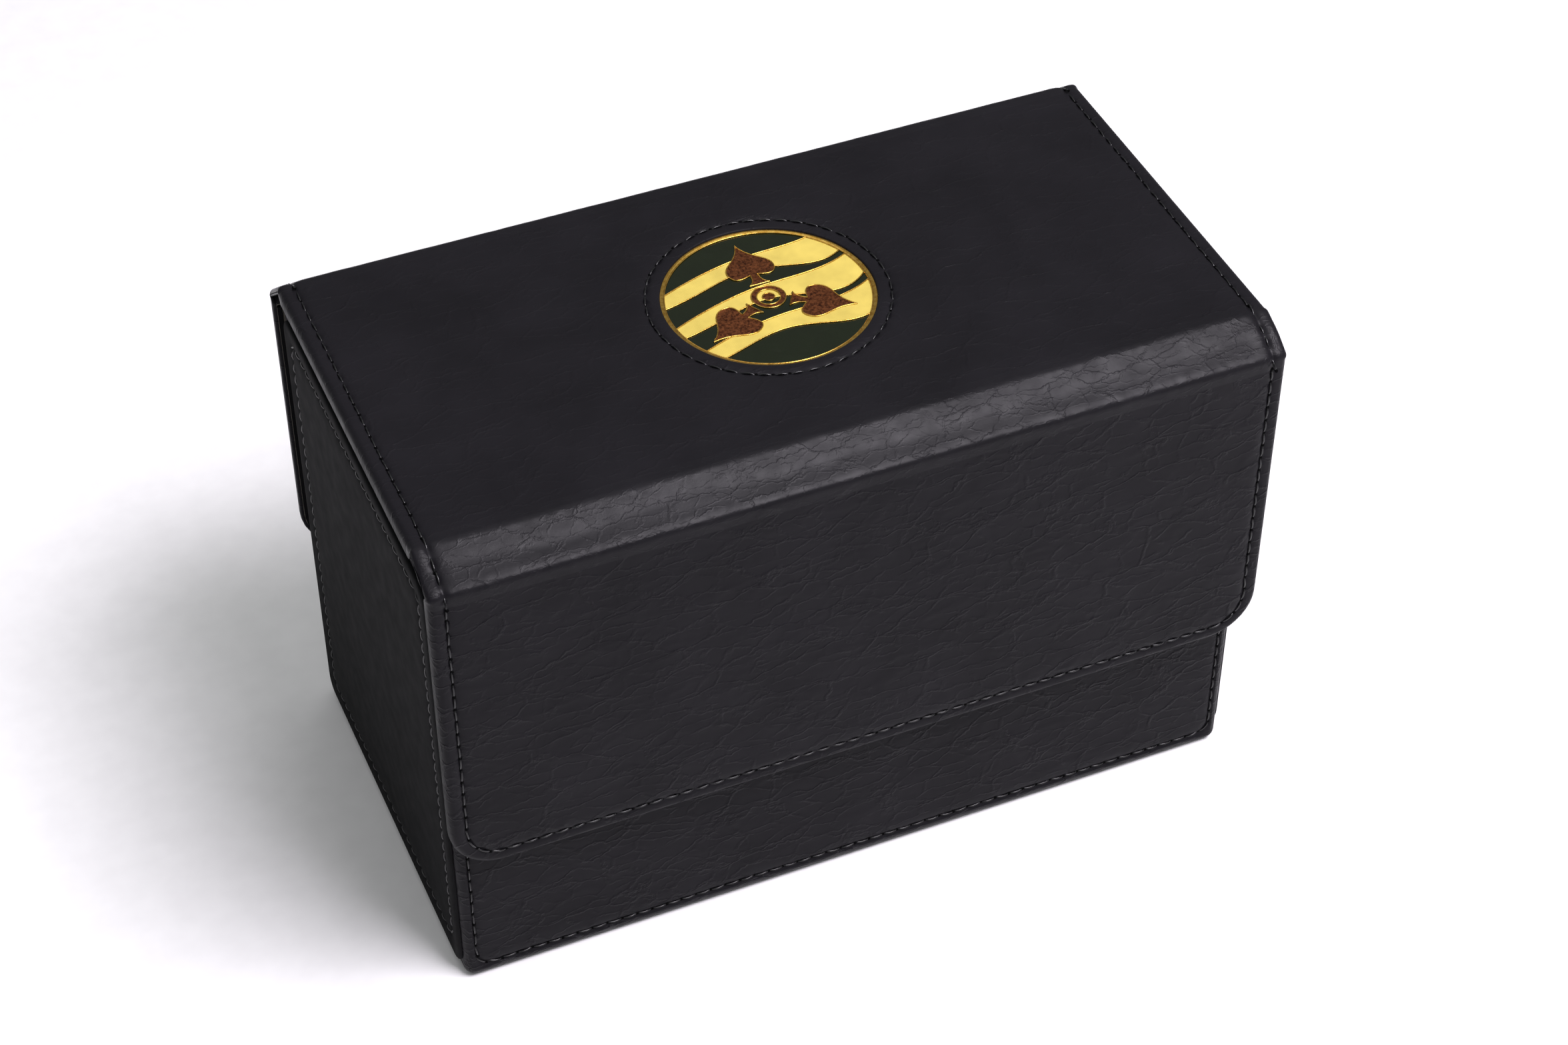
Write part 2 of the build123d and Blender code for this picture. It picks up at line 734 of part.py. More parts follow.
flap_cover.part.label = "flap_cover"
export_step(flap_cover.part, "parts/flap_cover.step")

with BuildPart() as flap_thread:
    with BuildSketch(facing_front(flap_face)):
        u_seam(seam_x, flap_foot + seam_inset, flap_seam_head, flap_radius - seam_inset)
    extrude(amount=-seam_depth)
flap_thread.part.label = "flap_thread"
export_step(flap_thread.part, "parts/flap_thread.step")

flap_board_head = front_lower[1] - board_setback - flap_thickness * math.tan(
    (math.pi / 2 - front_slope) / 2
)
with BuildPart() as flap_stiffener:
    with BuildSketch(facing_front(flap_inner - lid_lining)):
        panel_outline(board_half, flap_foot + leather, flap_board_head, flap_radius - leather)
    extrude(amount=flap_board)
    with BuildSketch(facing_front(flap_inner - lid_lining)):
        with Locations((0, magnet_height)):
            with GridLocations(magnet_spacing, 1, 2, 1):
                Circle(magnet_diameter / 2)
    extrude(amount=magnet_thickness, mode=Mode.SUBTRACT)
flap_stiffener.part.label = "flap_board"
export_step(flap_stiffener.part, "parts/flap_board.step")

with BuildPart() as flap_magnets:
    with BuildSketch(facing_front(flap_inner - lid_lining)):
        with Locations((0, magnet_height)):
            with GridLocations(magnet_spacing, 1, 2, 1):
                Circle(magnet_diameter / 2)
    extrude(amount=magnet_thickness)
flap_magnets.part.label = "flap_magnets"
export_step(flap_magnets.part, "parts/flap_magnets.step")

with BuildPart() as flap_lining_sheet:
    with BuildSketch(facing_front(flap_inner)):
        panel_outline(board_half, flap_foot + leather, flap_board_head, flap_radius - leather)
    extrude(amount=lid_lining)
flap_lining_sheet.part.label = "flap_lining"
export_step(flap_lining_sheet.part, "parts/flap_lining.step")
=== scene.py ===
import math

import bmesh
import bpy
import numpy as np
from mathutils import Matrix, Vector, noise


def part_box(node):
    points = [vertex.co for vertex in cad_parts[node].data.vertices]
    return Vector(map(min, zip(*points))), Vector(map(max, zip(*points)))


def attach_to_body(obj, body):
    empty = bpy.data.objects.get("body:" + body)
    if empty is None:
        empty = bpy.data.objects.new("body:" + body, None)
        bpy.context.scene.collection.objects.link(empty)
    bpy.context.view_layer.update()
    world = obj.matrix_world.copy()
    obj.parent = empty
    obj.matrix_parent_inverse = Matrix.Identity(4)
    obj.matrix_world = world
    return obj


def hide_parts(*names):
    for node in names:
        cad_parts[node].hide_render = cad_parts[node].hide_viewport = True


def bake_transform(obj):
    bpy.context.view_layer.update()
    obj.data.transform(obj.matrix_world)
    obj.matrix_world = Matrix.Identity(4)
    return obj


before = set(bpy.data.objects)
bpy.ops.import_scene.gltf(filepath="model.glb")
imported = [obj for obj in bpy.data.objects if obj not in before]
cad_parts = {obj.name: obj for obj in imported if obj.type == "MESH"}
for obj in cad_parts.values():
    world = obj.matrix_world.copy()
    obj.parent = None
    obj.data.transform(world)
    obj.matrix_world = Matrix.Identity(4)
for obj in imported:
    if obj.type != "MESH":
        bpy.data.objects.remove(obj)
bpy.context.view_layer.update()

bl_info = {
    "name": "Card Deck Box",
    "version": (1, 0, 0),
    "blender": (4, 5, 0),
    "location": "View3D > Sidebar > Deck Box",
    "description": "Dresses the packed card deck box in stitched leathercloth, suede and an enamelled coin",
    "category": "Object",
}

MM = 0.001  # the making works in millimetres, and a mesh is turned to metres when it is made


# ---------------------------------------------------------------- measures taken from the frame
def node_box(node):
    """Lowest and highest corner of a frame node, in millimetres."""
    low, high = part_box(node)
    return np.array(low) / MM, np.array(high) / MM


LID_LOW, LID_HIGH = node_box("lid_cover")
FLAP_LOW, FLAP_HIGH = node_box("flap_cover")
BACK_LOW, BACK_HIGH = node_box("back_flap_cover")
WRAP_LOW, WRAP_HIGH = node_box("body_wrap")
SIDE_LOW, SIDE_HIGH = node_box("left_side_cover")
THREAD_HIGH = node_box("lid_thread")[1]
WALL_LOW, WALL_HIGH = node_box("front_wall_thread")
COIN_HIGH = node_box("coin")[1]
RING_LOW, RING_HIGH = node_box("coin_seam_thread")
LINING_HIGH = node_box("front_lining")[1]
SIDE_SEAM_LOW, SIDE_SEAM_HIGH = node_box("left_side_thread")

HALF = LID_HIGH[0]  # half the strip's length along X
LID_DEEP = LID_HIGH[2] - LID_LOW[2]
FLAP_DEEP = FLAP_HIGH[1] - FLAP_LOW[1]
BACK_DEEP = BACK_HIGH[1] - BACK_LOW[1]
BODY_TOP = WRAP_HIGH[2]
THREAD_HALF = 0.3  # half the width of a frame node that stands for a row of stitches
SEAM_INSET = HALF - THREAD_HIGH[0] + THREAD_HALF  # from the strip's edge in to its seam
SEAM_X = HALF - SEAM_INSET
COIN_SEAM = (RING_HIGH[0] - RING_LOW[0]) / 2 - THREAD_HALF  # radius of the seam round the coin
WALL_SEAM_X = WALL_HIGH[0] - THREAD_HALF
WALL_SEAM_FOOT = WALL_LOW[2] + THREAD_HALF
WALL_SEAM_RADIUS = 3.1  # corners of the seam on the front and back walls
SIDE_SEAM_X = SIDE_SEAM_HIGH[1] - THREAD_HALF
SIDE_SEAM_FOOT = SIDE_SEAM_LOW[2] + THREAD_HALF
SIDE_SEAM_HEAD = SIDE_SEAM_HIGH[2] - THREAD_HALF
SIDE_SEAM_RADIUS = 1.8
FLAP_RADIUS = 10.0  # corners of the front flap and the back flap
SIDE_RADIUS = 4.0  # corners of the side panels
WRAP_RADIUS = 2.2  # the body's upright and lower edges
BORDER = 5.0  # width of the border whose mesh follows the outline
EDGE = 1.2  # rounding of the lid's turned edge
LEATHER = 0.7  # thickness of the leathercloth


# ---------------------------------------------------------------- colours
def linear(value):
    """One sRGB channel, 0 to 1, as a linear one."""
    return value / 12.92 if value <= 0.04045 else ((value + 0.055) / 1.055) ** 2.4


def colour(code):
    """An sRGB hex code as the linear colour that the shaders take."""
    return tuple(linear(int(code[i:i + 2], 16) / 255) for i in (1, 3, 5)) + (1.0,)


# ---------------------------------------------------------------- settings
class DeckBoxLeather(bpy.types.PropertyGroup):
    """The leathercloth and the shape of its folds."""

    face: bpy.props.FloatVectorProperty(
        name="Leathercloth", description="Colour of the crinkled leathercloth",
        subtype="COLOR", size=4, min=0, max=1, default=colour("#161518"))
    smooth: bpy.props.FloatVectorProperty(
        name="Side leathercloth", description="Colour of the plain leathercloth on the sides",
        subtype="COLOR", size=4, min=0, max=1, default=colour("#131314"))
    fold: bpy.props.FloatProperty(
        name="Fold height", description="Height of the leathercloth's crinkle folds",
        unit="LENGTH", precision=6, min=0, max=0.0005, default=0.00008)
    crease: bpy.props.FloatProperty(
        name="Crease radius", description="Radius of the leathercloth's bend at a hinge crease",
        unit="LENGTH", precision=6, min=0.0003, max=0.003, default=0.0014)
    mesh: bpy.props.FloatProperty(
        name="Mesh spacing", description="Spacing of the leathercloth's mesh where it is seen most",
        unit="LENGTH", precision=6, min=0.0003, max=0.005, default=0.00046)


class DeckBoxStitches(bpy.types.PropertyGroup):
    """The thread and the spacing of its holes."""

    thread: bpy.props.FloatVectorProperty(
        name="Thread", description="Colour of the sewing thread",
        subtype="COLOR", size=4, min=0, max=1, default=colour("#08080A"))
    pitch: bpy.props.FloatProperty(
        name="Pitch", description="Distance from one needle hole to the next",
        unit="LENGTH", precision=6, min=0.001, max=0.01, default=0.00315)
    diameter: bpy.props.FloatProperty(
        name="Thread diameter", description="Diameter of the sewing thread",
        unit="LENGTH", precision=6, min=0.0001, max=0.001, default=0.00042)
    hole: bpy.props.FloatProperty(
        name="Hole radius", description="Radius of a needle hole",
        unit="LENGTH", precision=6, min=0.0001, max=0.001, default=0.00036)
    seed: bpy.props.IntProperty(
        name="Seed", description="Seed of the stitches' small unevenness", default=7)


class DeckBoxCoin(bpy.types.PropertyGroup):
    """The coin's finishes."""

    pale: bpy.props.FloatVectorProperty(
        name="Pale enamel", description="Colour of the pale enamel",
        subtype="COLOR", size=4, min=0, max=1, default=colour("#C4B056"))
    dark: bpy.props.FloatVectorProperty(
        name="Dark enamel", description="Colour of the dark enamel",
        subtype="COLOR", size=4, min=0, max=1, default=colour("#0D1404"))
    wire: bpy.props.FloatProperty(
        name="Wire", description="Width of the gilt line between enamels",
        unit="LENGTH", precision=6, min=0.0001, max=0.001, default=0.00026)


# ---------------------------------------------------------------- materials
def add_node(tree, kind, links=(), **settings):
    """A node with its settings; links pairs an input's name or number with an output socket.

    inputs gives constants to its sockets and stops sets a ramp's (position, linear colour) pairs.
    """
    node = tree.nodes.new(kind)
    inputs = settings.pop("inputs", {})
    stops = settings.pop("stops", ())
    for key, value in settings.items():
        setattr(node, key, value)
    for key, value in inputs.items():
        node.inputs[key].default_value = value
    for index, (position, value) in enumerate(stops):
        node.color_ramp.elements[index].position = position
        node.color_ramp.elements[index].color = value
    for key, socket in links:
        tree.links.new(socket, node.inputs[key])
    return node


def new_material(name, **shader):
    """A material with a Principled shader whose own sockets take the given constants."""
    material = bpy.data.materials.new(name)
    material.use_nodes = True
    tree = material.node_tree
    tree.nodes.clear()
    principled = add_node(tree, "ShaderNodeBsdfPrincipled", inputs=shader)
    add_node(tree, "ShaderNodeOutputMaterial", [("Surface", principled.outputs[0])])
    place = add_node(tree, "ShaderNodeTexCoord").outputs["Object"]
    return material, tree, principled, place


def shade(value, share):
    """A linear colour made lighter or darker by a share."""
    return tuple(min(1.0, channel * share) for channel in value[:3]) + (1.0,)


# Nets of the embossing's folds: cell in mm, line width and share left out of a cell, height in mm.
SHADER_NETS = ((7.0, 0.045, 0.42, 0.10), (3.4, 0.085, 0.45, 0.07))


def leathercloth(name, face, roughness, gloss, crinkle, finer=1.0):
    """Polyurethane leathercloth, embossed: a soft satin skin with a fine grain and crinkle folds.

    crinkle is how strongly the folds show, and finer scales their cells.
    """
    material, tree, principled, place = new_material(
        name, **{"Roughness": roughness, "IOR": 1.5, "Specular IOR Level": gloss})
    # The film's colour wanders a little over some 15 mm, as pigment does in a cast coating.
    patch = add_node(tree, "ShaderNodeTexNoise", [("Vector", place)],
                     inputs={"Scale": 1 / (15 * MM), "Detail": 3.0})
    tone = add_node(tree, "ShaderNodeValToRGB", [("Fac", patch.outputs["Fac"])],
                    stops=[(0.3, shade(face, 0.85)), (0.72, shade(face, 1.16))])
    tree.links.new(tone.outputs["Color"], principled.inputs["Base Color"])
    # Polish differs over some 4 mm between handled and untouched skin.
    polish = add_node(tree, "ShaderNodeTexNoise", [("Vector", place)],
                      inputs={"Scale": 1 / (4 * MM), "Detail": 4.0})
    rough = add_node(tree, "ShaderNodeMapRange", [("Value", polish.outputs["Fac"])],
                     inputs={"From Min": 0.3, "From Max": 0.7, "To Min": roughness - 0.05,
                             "To Max": roughness + 0.06})
    tree.links.new(rough.outputs[0], principled.inputs["Roughness"])
    # Embossed grain, 0.45 mm pebbles.
    grain = add_node(tree, "ShaderNodeTexVoronoi", [("Vector", place)],
                     feature="SMOOTH_F1", inputs={"Scale": 1 / (0.45 * MM), "Smoothness": 0.6})
    pebble = add_node(tree, "ShaderNodeBump", [("Height", grain.outputs["Distance"])],
                      invert=True, inputs={"Strength": 0.10, "Distance": 0.05 * MM})
    normal = pebble.outputs[0]
    # Folds of the embossing: two broken nets of bent lines, longest along X.
    for cell, width, broken, height in SHADER_NETS if crinkle else ():
        cell *= finer
        bend = add_node(tree, "ShaderNodeTexNoise", [("Vector", place)],
                        inputs={"Scale": 1 / (1.3 * cell * MM), "Detail": 5.0, "Roughness": 0.6})
        shifted = add_node(tree, "ShaderNodeVectorMath", [(0, bend.outputs["Color"]), (2, place)],
                           operation="MULTIPLY_ADD", inputs={1: [0.9 * cell * MM] * 3})
        stretched = add_node(tree, "ShaderNodeMapping", [("Vector", shifted.outputs[0])],
                             inputs={"Scale": (0.42, 1.0, 1.0)})
        net = add_node(tree, "ShaderNodeTexVoronoi", [("Vector", stretched.outputs[0])],
                       feature="DISTANCE_TO_EDGE", inputs={"Scale": 1 / (cell * MM)})
        line = add_node(tree, "ShaderNodeMapRange", [("Value", net.outputs["Distance"])],
                        interpolation_type="SMOOTHSTEP",
                        inputs={"From Min": 0.0, "From Max": width, "To Min": 1.0, "To Max": 0.0})
        gate = add_node(tree, "ShaderNodeTexNoise", [("Vector", place)],
                        inputs={"Scale": 1 / (0.9 * cell * MM), "Detail": 2.0})
        gap = add_node(tree, "ShaderNodeMapRange", [("Value", gate.outputs["Fac"])],
                       inputs={"From Min": broken - 0.10, "From Max": broken + 0.14})
        fold = add_node(tree, "ShaderNodeMath", [(0, line.outputs[0]), (1, gap.outputs[0])],
                        operation="MULTIPLY")
        bump = add_node(tree, "ShaderNodeBump", [("Height", fold.outputs[0]), ("Normal", normal)],
                        inputs={"Strength": crinkle, "Distance": height * MM})
        normal = bump.outputs[0]
    tree.links.new(normal, principled.inputs["Normal"])
    return material


def spun_thread(face):
    """Bonded polyester thread, twisted: dark, with a hard gloss that glints where it bends."""
    material, tree, principled, place = new_material(
        "Bonded_polyester_thread", **{"Roughness": 0.24, "IOR": 1.55, "Specular IOR Level": 0.34})
    twist = add_node(tree, "ShaderNodeTexWave", [("Vector", place)], bands_direction="DIAGONAL",
                     inputs={"Scale": 1 / (1.4 * MM), "Distortion": 1.0})
    tone = add_node(tree, "ShaderNodeValToRGB", [("Fac", twist.outputs["Fac"])],
                    stops=[(0.2, shade(face, 0.6)), (0.8, shade(face, 1.5))])
    tree.links.new(tone.outputs["Color"], principled.inputs["Base Color"])
    bump = add_node(tree, "ShaderNodeBump", [("Height", twist.outputs["Fac"])],
                    inputs={"Strength": 0.2, "Distance": 0.04 * MM})
    tree.links.new(bump.outputs[0], principled.inputs["Normal"])
    return material


def painted_hole_shade():
    """The torn inside of a needle hole, unfinished cloth: its near-black colour is painted shade, standing
    in for the shade deep in the hole.
    """
    material, tree, principled, place = new_material(
        "Pierced_cloth", **{"Roughness": 0.95, "Specular IOR Level": 0.05})
    grit = add_node(tree, "ShaderNodeTexNoise", [("Vector", place)], inputs={"Scale": 1 / (0.3 * MM)})
    # Painted shade: near-black tones stand in for the hole's depth.
    tone = add_node(tree, "ShaderNodeValToRGB", [("Fac", grit.outputs["Fac"])],
                    stops=[(0.3, colour("#020202")), (0.7, colour("#070708"))])
    tree.links.new(tone.outputs["Color"], principled.inputs["Base Color"])
    return material


def suede(face):
    """Microfibre suede, brushed: matt, with a soft sheen and a nap that lies in patches."""
    material, tree, principled, place = new_material(
        "Microfibre_suede", **{"Roughness": 0.95, "Specular IOR Level": 0.2,
                               "Sheen Weight": 0.35, "Sheen Roughness": 0.4})
    nap = add_node(tree, "ShaderNodeTexNoise", [("Vector", place)],
                   inputs={"Scale": 1 / (7 * MM), "Detail": 5.0, "Roughness": 0.6})
    tone = add_node(tree, "ShaderNodeValToRGB", [("Fac", nap.outputs["Fac"])],
                    stops=[(0.32, shade(face, 0.75)), (0.7, shade(face, 1.3))])
    tree.links.new(tone.outputs["Color"], principled.inputs["Base Color"])
    # Fibre tips, drawn 0.25 mm apart: the real ones are too fine to show.
    fibre = add_node(tree, "ShaderNodeTexNoise", [("Vector", place)],
                     inputs={"Scale": 1 / (0.25 * MM), "Detail": 2.0})
    bump = add_node(tree, "ShaderNodeBump", [("Height", fibre.outputs["Fac"])],
                    inputs={"Strength": 0.5, "Distance": 0.05 * MM})
    tree.links.new(bump.outputs[0], principled.inputs["Normal"])
    return material


def greyboard():
    """Recycled greyboard, calendered: a flecked matt grey with a faint felt mark."""
    material, tree, principled, place = new_material(
        "Recycled_greyboard", **{"Roughness": 0.9, "Specular IOR Level": 0.3})
    fleck = add_node(tree, "ShaderNodeTexNoise", [("Vector", place)],
                     inputs={"Scale": 1 / (0.9 * MM), "Detail": 6.0, "Roughness": 0.7})
    tone = add_node(tree, "ShaderNodeValToRGB", [("Fac", fleck.outputs["Fac"])],
                    stops=[(0.35, colour("#6E6A63")), (0.65, colour("#8F8A80"))])
    tree.links.new(tone.outputs["Color"], principled.inputs["Base Color"])
    bump = add_node(tree, "ShaderNodeBump", [("Height", fleck.outputs["Fac"])],
                    inputs={"Strength": 0.3, "Distance": 0.05 * MM})
    tree.links.new(bump.outputs[0], principled.inputs["Normal"])
    return material


def plated_metal(name, low, high, roughness, grit, depth):
    """A plated metal: two tones of the plate over a fine surface of the given grit."""
    material, tree, principled, place = new_material(
        name, **{"Metallic": 1.0, "Roughness": roughness})
    stain = add_node(tree, "ShaderNodeTexNoise", [("Vector", place)],
                     inputs={"Scale": 1 / (grit * MM), "Detail": 4.0, "Roughness": 0.65})
    tone = add_node(tree, "ShaderNodeValToRGB", [("Fac", stain.outputs["Fac"])],
                    stops=[(0.35, colour(low)), (0.65, colour(high))])
    tree.links.new(tone.outputs["Color"], principled.inputs["Base Color"])
    bump = add_node(tree, "ShaderNodeBump", [("Height", stain.outputs["Fac"])],
                    inputs={"Strength": 0.5, "Distance": depth * MM})
    tree.links.new(bump.outputs[0], principled.inputs["Normal"])
    return material


def soft_enamel(name, face):
    """Soft enamel, filled and baked: clear gloss over flat colour, slightly uneven where it pooled."""
    material, tree, principled, place = new_material(
        name, **{"Roughness": 0.2, "IOR": 1.5, "Specular IOR Level": 0.3, "Coat Weight": 0.2,
                 "Coat Roughness": 0.04})
    pool = add_node(tree, "ShaderNodeTexNoise", [("Vector", place)],
                    inputs={"Scale": 1 / (5 * MM), "Detail": 2.0})
    tone = add_node(tree, "ShaderNodeValToRGB", [("Fac", pool.outputs["Fac"])],
                    stops=[(0.3, shade(face, 0.88)), (0.7, shade(face, 1.08))])
    tree.links.new(tone.outputs["Color"], principled.inputs["Base Color"])
    bump = add_node(tree, "ShaderNodeBump", [("Height", pool.outputs["Fac"])],
                    inputs={"Strength": 0.8, "Distance": 0.35 * MM})
    tree.links.new(bump.outputs[0], principled.inputs["Normal"])
    return material


def painted_floor():
    """Matt painted board, rolled: a pale, nearly even white with a faint roller texture."""
    material, tree, principled, place = new_material(
        "Matt_white_paint", **{"Roughness": 0.9, "Specular IOR Level": 0.1})
    roller = add_node(tree, "ShaderNodeTexNoise", [("Vector", place)], inputs={"Scale": 1 / (6 * MM)})
    tone = add_node(tree, "ShaderNodeValToRGB", [("Fac", roller.outputs["Fac"])],
                    stops=[(0.3, colour("#EDEDED")), (0.7, colour("#F1F1F1"))])
    tree.links.new(tone.outputs["Color"], principled.inputs["Base Color"])
    return material


def finish(name):
    """The named finish, made once."""
    made = bpy.data.materials.get(name)
    if made:
        return made
    leather = bpy.context.scene.deck_box_leather
    stitches = bpy.context.scene.deck_box_stitches
    coin = bpy.context.scene.deck_box_coin
    makers = {
        "Crinkled_leathercloth": lambda n: leathercloth(n, leather.face, 0.38, 0.065, 1.1),
        "Band_leathercloth": lambda n: leathercloth(n, leather.face, 0.36, 0.10, 0.32, 0.6),
        "Lid_leathercloth": lambda n: leathercloth(n, leather.face, 0.46, 0.075, 0.7),
        "Plain_leathercloth": lambda n: leathercloth(n, leather.smooth, 0.78, 0.06, 0.0),
        "Bonded_polyester_thread": lambda n: spun_thread(stitches.thread),
        # The needle holes' near-black finish is painted shade.
        "Pierced_cloth": lambda n: painted_hole_shade(),
        "Microfibre_suede": lambda n: suede(colour("#2B2A2D")),
        "Recycled_greyboard": lambda n: greyboard(),
        "Nickel_plate": lambda n: plated_metal(n, "#9A9A98", "#B9B8B4", 0.3, 1.5, 0.01),
        "Antique_copper": lambda n: plated_metal(n, "#3A1D12", "#955A38", 0.42, 0.5, 0.08),
        "Gilt_wire": lambda n: plated_metal(n, "#B98A35", "#E0B85E", 0.22, 0.8, 0.02),
        "Pale_enamel": lambda n: soft_enamel(n, coin.pale),
        "Dark_enamel": lambda n: soft_enamel(n, coin.dark),
        "Matt_white_paint": lambda n: painted_floor(),
    }
    return makers[name](name)


def finish_node(node, name):
    """Gives a frame node's own slots a finish."""
    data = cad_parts[node].data
    data.materials.clear()
    data.materials.append(finish(name))


# ---------------------------------------------------------------- leathercloth's relief
# Two nets of folds in the mesh. cell and gate are mm along and across the strip; bend and waver move
# the lines by a share of a cell at a rate; width is a line's; open and swing say how broken it is.
FOLD_NETS = (
    {"cell": (14.0, 6.6), "bend": (0.30, 1.3), "waver": (0.13, 4.5), "width": 0.12,
     "gate": (11.0, 7.0), "open": 0.70, "swing": 1.3, "height": 1.0},
    {"cell": (7.0, 3.8), "bend": (0.28, 1.2), "waver": (0.12, 4.0), "width": 0.16,
     "gate": (7.0, 5.0), "open": 0.45, "swing": 1.5, "height": 0.45},
)
SWELL = (16.0, 9.0, 0.9)  # mm along and across of the soft swell between the folds, and its height
SEAM_GROOVE = (0.38, 0.52)  # depth and half width of the narrow groove that the thread lies in
SEAM_DIP = (0.20, 1.4)  # the same of the broad dip round it
FOLD_SEED = 1  # noise_vector starts from the clock's time unless it is given a seed


def crinkle_folds(x, s, seed):
    """Height, 0 to about 1, of a broken net of folds that run mostly along X."""
    noise.seed_set(FOLD_SEED)
    height = np.zeros(len(x))
    for i in range(len(x)):
        for number, net in enumerate(FOLD_NETS):
            place = Vector((x[i] / net["cell"][0], s[i] / net["cell"][1], seed + 9.0 * number))
            place += (net["bend"][0] * noise.noise_vector(place * net["bend"][1])
                      + net["waver"][0] * noise.noise_vector(place * net["waver"][1]))
            near = noise.voronoi(place)[0]
            line = math.exp(-((near[1] - near[0]) / net["width"]) ** 2)
            gate = noise.noise(Vector((x[i] / net["gate"][0], s[i] / net["gate"][1],
                                       seed + 4.0 + 10.0 * number)))
            height[i] += net["height"] * line * min(1.0, max(0.0, net["open"] + net["swing"] * gate))
        height[i] += SWELL[2] * noise.noise(Vector((x[i] / SWELL[0], s[i] / SWELL[1], seed + 24.0)))
    return height


def rounded_distance(x, y, half_x, half_y, radius):
    """Signed distance to a rounded rectangle round the origin, negative inside."""
    over_x = np.abs(x) - half_x + radius
    over_y = np.abs(y) - half_y + radius
    outside = np.hypot(np.maximum(over_x, 0), np.maximum(over_y, 0))
    return outside + np.minimum(np.maximum(over_x, over_y), 0) - radius


def bell(value, width):
    """1 at zero, falling smoothly to about a third at the width."""
    return np.exp(-(value / width) ** 2)


def smooth_step(value, low, high):
    """0 up to low, 1 from high, and an S curve between."""
    t = np.clip((value - low) / (high - low), 0, 1)
    return t * t * (3 - 2 * t)


def seam_groove(distance, along, pitch):
    """Depth of the groove that a seam pulls into the leathercloth, deepest at the needle holes."""
    pull = 0.72 + 0.28 * np.cos(2 * np.pi * along / pitch)
    return (SEAM_GROOVE[0] * pull * bell(distance, SEAM_GROOVE[1])
            + SEAM_DIP[0] * bell(distance, SEAM_DIP[1]))


# ---------------------------------------------------------------- the lid's strip
class StripPath:
    """The strip's outer face seen from its end: runs joined by crease arcs, s running forwards."""

    def __init__(self, points, radii):
        self.runs = []
        self.creases = []
        points = [np.array(p, float) for p in points]
        start, s = points[0], 0.0
        for i in range(1, len(points)):
            along = points[i] - points[i - 1]
            along /= np.linalg.norm(along)
            if i == len(points) - 1:
                length = np.linalg.norm(points[i] - start)
                self.runs.append((s, s + length, start, along, 0.0))
                s += length
                break
            after = points[i + 1] - points[i]
            after /= np.linalg.norm(after)
            turn = math.acos(np.clip(along @ after, -1, 1))
            cut = radii[i - 1] * math.tan(turn / 2)
            end = points[i] - along * cut
            length = np.linalg.norm(end - start)
            self.runs.append((s, s + length, start, along, 0.0))
            s += length
            self.runs.append((s, s + radii[i - 1] * turn, end, along, radii[i - 1]))
            self.creases.append(s + radii[i - 1] * turn / 2)
            s += radii[i - 1] * turn
            start = points[i] + after * cut
        self.length = s

    def at(self, s):
        """Points and outward normals in the YZ plane, for an array of s."""
        place = np.zeros((len(s), 2))
        outward = np.zeros((len(s), 2))
        for i, (first, last, start, along, radius) in enumerate(self.runs):
            inside = (s >= first) if i == len(self.runs) - 1 else (s >= first) & (s < last)
            if i == 0:
                inside |= s < first
            t = (s[inside] - first)[:, None]
            normal = np.array((along[1], -along[0]))
            if radius == 0.0:
                place[inside] = start + t * along
                outward[inside] = normal
            else:
                angle = t / radius
                turned = normal * np.cos(angle) + along * np.sin(angle)
                place[inside] = start - normal * radius + turned * radius
                outward[inside] = turned
        return place, outward


REAR_LOWER, REAR_UPPER, FRONT_UPPER, FRONT_LOWER = range(4)


def strip_path():
    """The strip's path through the frame's creases: the front upper crease is the softest."""
    crease = bpy.context.scene.deck_box_leather.crease / MM
    points = [
        (BACK_HIGH[1], BACK_LOW[2]),
        (BACK_HIGH[1], BACK_HIGH[2]),
        (LID_HIGH[1], LID_HIGH[2]),
        (LID_LOW[1], LID_HIGH[2]),
        (FLAP_LOW[1], FLAP_HIGH[2]),
        (FLAP_LOW[1], FLAP_LOW[2]),
    ]
    return StripPath(points, [crease * 1.3, crease * 1.3, crease * 1.7, crease])


def strip_depth(path, s, band):
    """How deep the strip is at s: the boards' depth on the stiff parts, band on the two bands."""
    rear_lower, rear_upper, front_upper, front_lower = path.creases
    depth = np.full(len(s), BACK_DEEP)
    near, far = 0.35, 1.9  # the depth changes between these distances from a crease
    before_crease = 2.5
    for crease, before, after in (
        (rear_lower, BACK_DEEP, band),
        (rear_upper, band, LID_DEEP),
        (front_upper, LID_DEEP, band),
        (front_lower, band, FLAP_DEEP),
    ):
        side = 1 if after > before else -1
        change = smooth_step(side * (s - crease), near, far)
        share = change if side > 0 else 1 - change
        depth = np.where(s > crease - before_crease, before + (after - before) * share, depth)
    return depth


